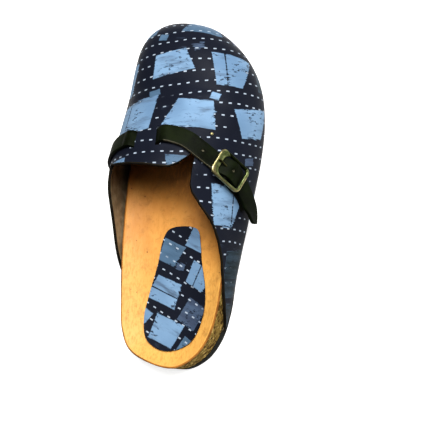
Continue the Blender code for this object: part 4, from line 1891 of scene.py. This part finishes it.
@dataclass
class Upper:
    """Vamp, flap and quarters in one leather wall, slotted for the strap."""

    finishes: FinishBook
    side_columns: int = 90
    toe_columns: int = 60
    rows_between: int = 4
    arc_steps: int = 24
    slot_rows: tuple[Pair, ...] = ((5.55, 7.22), (8.75, 10.4))
    slot_steps: int = 8
    slot_across: float = 1.0
    slot_thick: float = 0.35
    border: float = 0.8
    girth_rows: tuple[float, ...] = (
        -1, -0.66, -0.33, 0, 0.07, 0.148, 0.25, 0.33, 0.409, 0.484, 0.525, 0.569, 0.594, 0.608, 0.618, 0.637,
        0.675, 0.74, 0.82, 0.91, 1,
    )

    def build(self) -> Object:
        """Builds the leather wall with a suede lining, raw edges and two strap slots.

        Returns:
            The upper.
        """
        points, uv = self.skin()
        slots = np.full((points.shape[0] - 1, points.shape[1] - 1), int(UpperFace.PRINT))
        slots[:, [0, -1]] = UpperFace.RAW_EDGE
        bm = woven(points, uv, slots)
        if sum((face.normal.z for face in bm.faces), 0.0) < 0:
            bmesh.ops.reverse_faces(bm, faces=bm.faces)
        f = self.finishes
        upper = new_piece("leather_upper", bm, [f.printed, f.lining, f.raw_edge])
        wall = upper.modifiers.new("wall", "SOLIDIFY")
        wall.thickness = LAST.wall * MM
        wall.offset = -1
        wall.use_even_offset = True
        wall.material_offset = UpperFace.LINING
        wall.material_offset_rim = UpperFace.RAW_EDGE
        upper.modifiers.new("flat_faces", "TRIANGULATE")
        tools = [self.slot_tool(number, rows) for number, rows in enumerate(self.slot_rows, start=1)]
        for tool in tools:
            cut_by(upper, tool)
        return fitted(settle(upper, tools), "printed_leather", "upper")

    def stations(self, start: float) -> Array:
        """Stations from the leather's edge to the toe, the first step as wide as the cut border."""
        return np.concatenate([[start], np.linspace(start + self.border, LAST.toe_centre, self.side_columns)])

    def skin(self) -> tuple[Array, Array]:
        """Rows of the outer surface, from the outer edge round the toe to the inner edge.

        Returns:
            Points, and their flat places in millimetres.
        """
        known = np.array(self.girth_rows)
        fine = np.linspace(0, len(known) - 1, (len(known) - 1) * self.rows_between + 1)
        girths = np.interp(fine, np.arange(len(known)), known)
        edge_girth, edge_s = UPPER_EDGE.column("girth"), UPPER_EDGE.column("s")
        toe = math.pi * np.arange(1, self.toe_columns) / self.toe_columns
        ones = np.ones(self.side_columns + 1)
        points, places = [], []
        for girth in girths:
            outer_s, inner_s = np.interp((girth, 2 - girth), edge_girth, edge_s)
            ribs = [
                LAST.wall_ribs(self.stations(outer_s), Side.OUTER * ones),
                LAST.toe_ribs(toe),
                LAST.wall_ribs(self.stations(inner_s)[::-1], Side.INNER * ones),
            ]
            centre, direction, shoulder = (np.concatenate(parts) for parts in zip(*ribs))
            steps = np.linspace(1, girth, self.arc_steps + 1)[:, None] + np.zeros(len(centre))
            arcs = LAST.ribs(centre, direction, shoulder, steps)
            far = np.linalg.norm(np.diff(arcs, axis=0), axis=-1).sum(axis=0)
            points.append(arcs[-1])
            places.append(centre + far[:, None] * direction)
        points, places = np.array(points), np.array(places)
        out = unit(np.cross(np.gradient(points, axis=1), np.gradient(points, axis=0)))
        height = sum(fold.height_at(places) for fold in UPPER_FOLDS)
        return points + height[..., None] * out, places

    def slot_tool(self, number: int, rows: Pair) -> Object:
        """Cutter for one strap slot.

        Args:
            number: Number of the slot.
            rows: Part of the strap's route that it follows.

        Returns:
            The cutter.
        """
        half = STRAP.width / 2 + self.slot_across
        low, high = -self.slot_thick, STRAP.thick + self.slot_thick
        section = np.array(((-half, low), (half, low), (half, high), (-half, high)))
        points = ribbon(*LAST.laid_on(STRAP_ROUTE, *rows, self.slot_steps), section)
        return new_piece(f"slot_{number}_tool", closed_up(woven(points, closed=True)), [])


@dataclass
class Strap:
    """Black instep strap through the flap's slots; its paler cut edges show on a part of its route."""

    finishes: FinishBook
    cut_faces: tuple[range, ...] = (range(0, 9), range(19, 23))
    cut_rows: Pair = (10.2, 14.9)
    tip: tuple[Pair, ...] = ((0.0, 0.34), (0.12, 0.52), (0.4, 0.74), (0.8, 0.92), (1.2, 1.0))
    tip_slant: float = 0.7

    def build(self) -> Object:
        """Builds the strap with eased edges, punched holes and a rounded tip.

        Returns:
            The strap.
        """
        end = len(STRAP_ROUTE.rows) - 1
        rows = np.linspace(0, end, STRAP.steps + 1)
        widths = STRAP.width * np.interp(end - rows, *zip(*self.tip))
        sections = np.array([rounded_section(width, STRAP.thick, STRAP.edge) for width in widths])
        sections[..., 0] -= self.tip_slant * (STRAP.width - widths[:, None]) / 2
        points = ribbon(*LAST.laid_on(STRAP_ROUTE, 0, end, STRAP.steps), sections)
        slots = np.zeros((len(points) - 1, sections.shape[1]), int)
        first, last = (round(row * STRAP.steps / end) for row in self.cut_rows)
        for span in self.cut_faces:
            slots[first:last, list(span)] = 1
        bm = closed_up(woven(points, slots=slots, closed=True))
        strap = new_piece("instep_strap", bm, [self.finishes.black, self.finishes.cut_edge])
        tools = [self.hole_tool(number, row) for number, row in enumerate(STRAP.holes)]
        for tool in tools:
            cut_by(strap, tool)
        return fitted(settle(strap, tools), "strap_leather", "strap")

    def hole_tool(self, number: int, row: float) -> Object:
        """Punch for one hole.

        Args:
            number: Number of the hole.
            row: Its place along the strap's route.

        Returns:
            The punch.
        """
        points, outs = LAST.laid_on(STRAP_ROUTE, row, row, 0)
        bm = bmesh.new()
        matrix = facing(points[0] + outs[0] * STRAP.thick, outs[0])
        add_peg(bm, matrix, STRAP.hole_radius, STRAP.hole_depth, STRAP.hole_sides)
        for face in bm.faces:
            face.material_index = 1
        return new_piece(f"hole_{number}_tool", bm, [self.finishes.black, self.finishes.cut_edge])


class BuckleSeat:
    """Where the buckle sits on the upper."""

    def __init__(self) -> None:
        """Finds the seat from the strap's route."""
        rows = STRAP_ROUTE.stacked()[BUCKLE_ROW - 1 : BUCKLE_ROW + 2]
        points, outs = LAST.lifted(rows[:, 0], rows[:, 1], np.zeros(len(rows)))
        up = outs[1]
        along = points[2] - points[0]
        along = unit(along - up * (along @ up))
        self.point = points[1]
        self.axes = np.stack([along, np.cross(up, along), up])

    def placed(self, points: Array) -> Array:
        """Points of the buckle's own frame (along, across, up) in the shoe's frame."""
        return self.point + np.asarray(points, float) @ self.axes

    def box_tool(self, name: str, low: Sequence[float], high: Sequence[float]) -> Object:
        """Box-shaped cutter.

        Args:
            name: Name of the cutter.
            low: Lowest corner in the buckle's own frame.
            high: Highest corner.

        Returns:
            The cutter.
        """
        section = ((low[1], low[2]), (high[1], low[2]), (high[1], high[2]), (low[1], high[2]))
        rows = [self.placed([(along, *corner) for corner in section]) for along in (low[0], high[0])]
        return new_piece(name, closed_up(woven(np.array(rows), closed=True)), [])


class FrameFace(IntEnum):
    """Material slots of the buckle frame."""

    WORN = 0
    # Bright faces: painted highlight over partly rubbed brass.
    RUBBED_LIT = 1
    # Dark faces: painted shade.
    DULL = 2


@dataclass(frozen=True)
class FrameLightAndWear:
    """Which faces of the buckle frame get bright brass, a painted highlight on the lit sides and ends over
    partly rubbed metal, and which get dark brass, a painted shade on the far side rail, in shares of its
    sizes.
    """

    side: float = 0.3
    far_side: float = 0.2
    end: float = 0.42
    shaded_end: float = 0.36
    lowest: float = -0.4
    side_out: float = 0.3
    end_out: float = 0.75

    def faces(self, along: Array, across: Array, out: float, up: float) -> Array:
        """Picks a material for each face of one band round the frame.

        Args:
            along: Places along the frame, in shares of its length.
            across: Places across it, in shares of its width.
            out: How far outwards the band lies, from -1 to 1.
            up: How far up it lies, from -1 to 1.

        Returns:
            Material slot of each face.
        """
        # Lit sides and ends take a painted highlight, bright brass over partly rubbed metal; the far rail
        # takes a painted shade, dark brass.
        lit_sides = (across < -self.side) | (along > self.end) & (across < self.far_side)
        near = along < -self.end
        shaded = (across > self.side) & (np.abs(along) < self.shaded_end)
        bright = (lit_sides & (out > self.side_out) | near & (out > self.end_out)) & (up > self.lowest)
        return np.where(shaded, FrameFace.DULL, np.where(bright, FrameFace.RUBBED_LIT, FrameFace.WORN))


@dataclass
class Buckle:
    """Brass frame with a broad plate and a bar, a prong, and the tab that holds them."""

    finishes: FinishBook
    seat: BuckleSeat = field(default_factory=BuckleSeat)
    light_and_wear: FrameLightAndWear = field(default_factory=FrameLightAndWear)
    length: float = 27.0
    width: float = 20.4
    thick: float = 2.4
    height: float = 5.6
    rail: float = 2.4
    plate: float = 5.0
    corner: float = 4.2
    window: float = 4.4
    section_sides: int = 24
    section_power: float = 0.7
    bar_radius: float = 0.9
    bar_height: float = 3.9
    bar_sides: int = 24
    clear: float = 0.2
    prong_radius: float = 0.7
    prong_sides: int = 16
    hook_turns: Pair = (-130.0, 90.0)
    hook_steps: int = 24
    prong_reach: tuple[Pair, ...] = ((-3.0, 6.4), (-6.5, 7.1), (-10.5, 7.8), (-12.6, 7.8))
    reach_steps: int = 16
    hook_end: tuple[float, ...] = (0.5, 0.9)
    prong_tip: tuple[float, ...] = (0.95, 0.8, 0.45)
    tab_width: float = 13.4
    tab_head: float = 15.2
    tab_widening: tuple[int, int] = (20, 44)
    tab_thick: float = 1.0
    tab_edge: float = 0.2
    tab_steps: int = 48
    curl_end: float = 40.0
    curl_steps: int = 32
    gap_low: Triple = (-4.5, -1.4, -1.5)
    gap_high: Triple = (3.4, 1.4, 7.5)

    def frame(self) -> Object:
        """Builds the buckle frame with rounded rails, a broad plate and a round bar.

        Returns:
            The frame.
        """
        half = self.length / 2
        outer = self.rounded_rectangle(-half, half, self.width / 2, (self.corner, self.corner))
        inner_radii = (self.window, self.corner - self.rail)
        inner = self.rounded_rectangle(
            self.plate - half, half - self.rail, self.width / 2 - self.rail, inner_radii
        )
        turn = np.linspace(0, 2 * math.pi, self.section_sides, endpoint=False)
        bulge = [np.sign(wave) * np.abs(wave) ** self.section_power for wave in (np.cos(turn), np.sin(turn))]
        along, across = ((outer + np.roll(outer, -1, axis=0)) / 2).T
        rings, slots = [], []
        for out, up in zip(*bulge):
            plan = outer + (0.5 - 0.5 * out) * (inner - outer)
            level = np.full(len(plan), self.height + up * self.thick / 2)
            rings.append(self.seat.placed(np.column_stack([plan, level])))
            slots.append(self.light_and_wear.faces(along / self.length, across / self.width, out, up))
        rings.append(rings[0])
        bm = woven(np.array(rings), slots=np.array(slots), closed=True)
        axes = self.seat.axes
        turned = Matrix((axes[0], -axes[2], axes[1])).transposed().to_4x4()
        move = Matrix.Translation(LAST.placed(self.seat.placed((0, 0, self.bar_height))))
        add_peg(bm, move @ turned, self.bar_radius, self.width - self.rail, self.bar_sides)
        bmesh.ops.recalc_face_normals(bm, faces=bm.faces)
        piece = new_piece("brass_frame", bm, [self.finishes.brass, self.finishes.rubbed, self.finishes.painted_shade])
        return fitted(piece, "antique_brass", "buckle_frame")

    def rounded_rectangle(
        self, low: float, high: float, half: float, radii: Pair, steps: int = 8, flats: int = 6
    ) -> Array:
        """Outline with round corners.

        Args:
            low: Near end along the strap.
            high: Far end along the strap.
            half: Half of the width.
            radii: Radius of the near and of the far corners.
            steps: Steps round each corner.
            flats: Steps along each side.

        Returns:
            Points along and across.
        """
        points = []
        corners = ((high, half), (low, half), (low, -half), (high, -half))
        turns = np.linspace(0, math.pi / 2, steps + 1)
        for k, (along, across) in enumerate(corners):
            radius = radii[0] if along == low else radii[1]
            inwards = math.copysign(radius, along - (low + high) / 2)
            middle = np.array((along - inwards, across - math.copysign(radius, across)))
            angle = turns + k * math.pi / 2
            points.append(middle + radius * np.column_stack([np.cos(angle), np.sin(angle)]))
        share = np.linspace(0, 1, flats + 1)[1:-1, None]
        pairs = zip(points, points[1:] + points[:1])
        sides = [start[-1] + share * (end[0] - start[-1]) for start, end in pairs]
        return np.vstack([part for pair in zip(points, sides) for part in pair])

    def prong(self) -> Object:
        """Builds the prong, hooked round the bar, through the strap and onto the plate.

        Returns:
            The prong.
        """
        hook = self.bar_radius + self.clear + self.prong_radius
        turn = np.radians(np.linspace(*self.hook_turns, self.hook_steps))
        curl = np.column_stack([hook * np.cos(turn), self.bar_height + hook * np.sin(turn)])
        reach_on = np.array(self.prong_reach)
        path = np.vstack([curl, catmull_rom(reach_on, np.linspace(0, len(reach_on) - 1, self.reach_steps))])
        ahead = unit(np.gradient(path, axis=0))
        round_turn = np.linspace(0, 2 * math.pi, self.prong_sides, endpoint=False)
        radii = np.full(len(path), self.prong_radius)
        radii[: len(self.hook_end)] *= self.hook_end
        radii[-len(self.prong_tip) :] *= self.prong_tip
        rings = []
        for (along, up), (da, du), radius in zip(path, ahead, radii):
            swing, across = radius * np.cos(round_turn), radius * np.sin(round_turn)
            rings.append(self.seat.placed(np.column_stack([along - du * swing, across, up + da * swing])))
        bm = closed_up(woven(np.array(rings), closed=True))
        return fitted(new_piece("brass_prong", bm, [self.finishes.prong]), "prong_brass", "buckle_prong")

    def tab(self) -> Object:
        """Builds the leather tab from behind the strap's tail, curled round the bar.

        Returns:
            The tab.
        """
        points, outs = LAST.laid_on(TAB_ROUTE, 0, len(TAB_ROUTE.rows) - 1, self.tab_steps)
        curl = self.bar_radius + self.clear + self.tab_thick
        turn = np.linspace(-math.pi / 2, math.radians(self.curl_end) - 2 * math.pi, self.curl_steps)
        round_bar = np.column_stack([np.cos(turn), np.zeros(len(turn)), np.sin(turn)])
        curl_points = self.seat.placed(curl * round_bar + np.array((0.0, 0.0, self.bar_height)))
        points = np.vstack([points, curl_points])
        outs = np.vstack([outs, -round_bar @ self.seat.axes])
        widths = np.interp(np.arange(len(points)), self.tab_widening, (self.tab_width, self.tab_head))
        sections = np.array([rounded_section(width, self.tab_thick, self.tab_edge) for width in widths])
        rows = ribbon(points, outs, sections)
        tab = new_piece("bar_tab", closed_up(woven(rows, closed=True)), [self.finishes.tab])
        tool = self.seat.box_tool("prong_gap_tool", self.gap_low, self.gap_high)
        cut_by(tab, tool)
        return fitted(settle(tab, [tool]), "tab_leather", "buckle_tab")


@dataclass
class SlitRivet:
    """Small domed rivet at the end of the slit between flap and quarter."""

    finishes: FinishBook
    girth: float = 0.54
    s: float = 160.8
    radius: float = 1.3
    height: float = 0.8
    sink: float = 0.3
    sides: int = 24

    def build(self) -> Object:
        """Builds the dome, set on the leather.

        Returns:
            The rivet.
        """
        points, outs = LAST.lifted(np.array([self.girth]), np.array([self.s]), np.array([-self.sink]))
        radius, height = self.radius * MM, (self.height + self.sink) * MM
        matrix = facing(points[0], outs[0]) @ Matrix.Diagonal((radius, radius, height, 1.0))
        bm = bmesh.new()
        bmesh.ops.create_uvsphere(
            bm, u_segments=self.sides, v_segments=self.sides // 2, radius=1.0, matrix=matrix
        )
        bmesh.ops.recalc_face_normals(bm, faces=bm.faces)
        return fitted(new_piece("slit_rivet", bm, [self.finishes.rubbed]), "antique_brass")


# Studio


@dataclass(frozen=True)
class Lamp:
    """A soft square lamp that faces the shoe: place and side in metres, power in watts."""

    name: str
    place: Triple
    side: float
    power: float
    tint: Triple

    def build(self) -> None:
        """Hangs the lamp."""
        light = bpy.data.lights.new(self.name, "AREA")
        light.size = self.side
        light.energy = self.power
        light.color = self.tint
        obj = bpy.data.objects.new(self.name, light)
        bpy.context.scene.collection.objects.link(obj)
        obj.location = self.place
        obj.rotation_euler = (-Vector(self.place)).to_track_quat("-Z", "Y").to_euler()


@dataclass
class Studio:
    """Floor, backdrop, soft lights and the camera; the key hangs over the outer side and the toe."""

    camera_place: Triple = (243.49, 6.40, 534.01)
    camera_target: Triple = (17.53, 117.16, 0.0)
    camera_up: Triple = (0.0223, 0.9808, 0.194)
    lens: float = 67.404
    sensor: float = 36.0
    floor_size: float = 14.0
    floor_cells: int = 4
    floor_drop: float = -0.0003
    floor_rough: float = 0.9
    floor_glow: float = 0.62
    floor_greys: Pair = (0.60, 0.64)
    wall_radius: float = 6.5
    wall_height: float = 5.0
    wall_sides: int = 96
    wall_rough: float = 0.5
    air: float = 0.06
    lamps: tuple[Lamp, ...] = (
        Lamp("key", (0.62, 0.54, 1.5), 1.1, 53.0, (1.0, 0.985, 0.96)),
        Lamp("fill", (-0.7, -0.3, 1.6), 1.0, 3.0, (1.0, 0.97, 0.92)),
    )

    def floor(self) -> None:
        """Lays a plain pale floor."""
        bm = bmesh.new()
        bmesh.ops.create_grid(
            bm, x_segments=self.floor_cells, y_segments=self.floor_cells, size=self.floor_size / 2,
            matrix=Matrix.Translation((0, 0, self.floor_drop)),
        )
        finish = PaleFloor("pale_floor", self.floor_rough, self.floor_greys, self.floor_glow)
        new_piece("floor", bm, [finish.made()])

    def backdrop(self) -> None:
        """Puts up a round wall far behind the shoe, as pale as the floor where it meets it."""
        bm = bmesh.new()
        bmesh.ops.create_cone(
            bm, cap_ends=False, segments=self.wall_sides, radius1=self.wall_radius, radius2=self.wall_radius,
            depth=self.wall_height, matrix=Matrix.Translation((0, 0, self.wall_height / 2 + self.floor_drop)),
        )
        bmesh.ops.reverse_faces(bm, faces=bm.faces)
        extra = self.floor_glow + self.air * (self.floor_greys[0] - 1)
        finish = PaleWall("pale_wall", self.wall_rough, self.air, extra)
        new_piece("backdrop", bm, [finish.made()])

    def lights(self) -> None:
        """Hangs the lamps and fills the air with a weak white light."""
        for lamp in self.lamps:
            lamp.build()
        world = bpy.data.worlds.new("air")
        bpy.context.scene.world = world
        world.use_nodes = True
        back = world.node_tree.nodes["Background"]
        back.inputs["Color"].default_value = WHITE
        back.inputs["Strength"].default_value = self.air

    def camera(self) -> None:
        """Sets the camera at the photograph's angle."""
        place, target = LAST.placed(self.camera_place), LAST.placed(self.camera_target)
        ahead = Vector(target - place).normalized()
        right = ahead.cross(Vector(self.camera_up)).normalized()
        up = right.cross(ahead)
        camera = bpy.data.cameras.new("photo_camera")
        camera.lens = self.lens
        camera.sensor_width = self.sensor
        camera.sensor_fit = "HORIZONTAL"
        obj = bpy.data.objects.new("photo_camera", camera)
        bpy.context.scene.collection.objects.link(obj)
        turn = Matrix((right, up, -ahead)).transposed().to_4x4()
        obj.matrix_world = Matrix.Translation(place) @ turn
        bpy.context.scene.camera = obj

    def build(self) -> None:
        """Sets up floor, backdrop, lights and camera."""
        self.floor()
        self.backdrop()
        self.lights()
        self.camera()
        bpy.context.scene.view_settings.view_transform = "Standard"
        bpy.context.scene.view_settings.look = "Medium High Contrast"


def main() -> None:
    """Builds the shoe piece by piece and reports each piece, then sets up the studio."""
    logging.basicConfig(level=logging.INFO, format="%(name)s %(message)s")
    finishes = FinishBook()
    sole = Sole(finishes)
    buckle = Buckle(finishes)
    builders = (
        sole.outsole, sole.cork, sole.insole, HeelInlay(finishes).build, Upper(finishes).build,
        Strap(finishes).build, buckle.tab, buckle.frame, buckle.prong, SlitRivet(finishes).build,
    )
    for build in builders:
        piece = build()
        LOG.info("%s: %d faces", piece.name, len(piece.data.polygons))
    Studio().build()


if __name__ == "__main__":
    main()
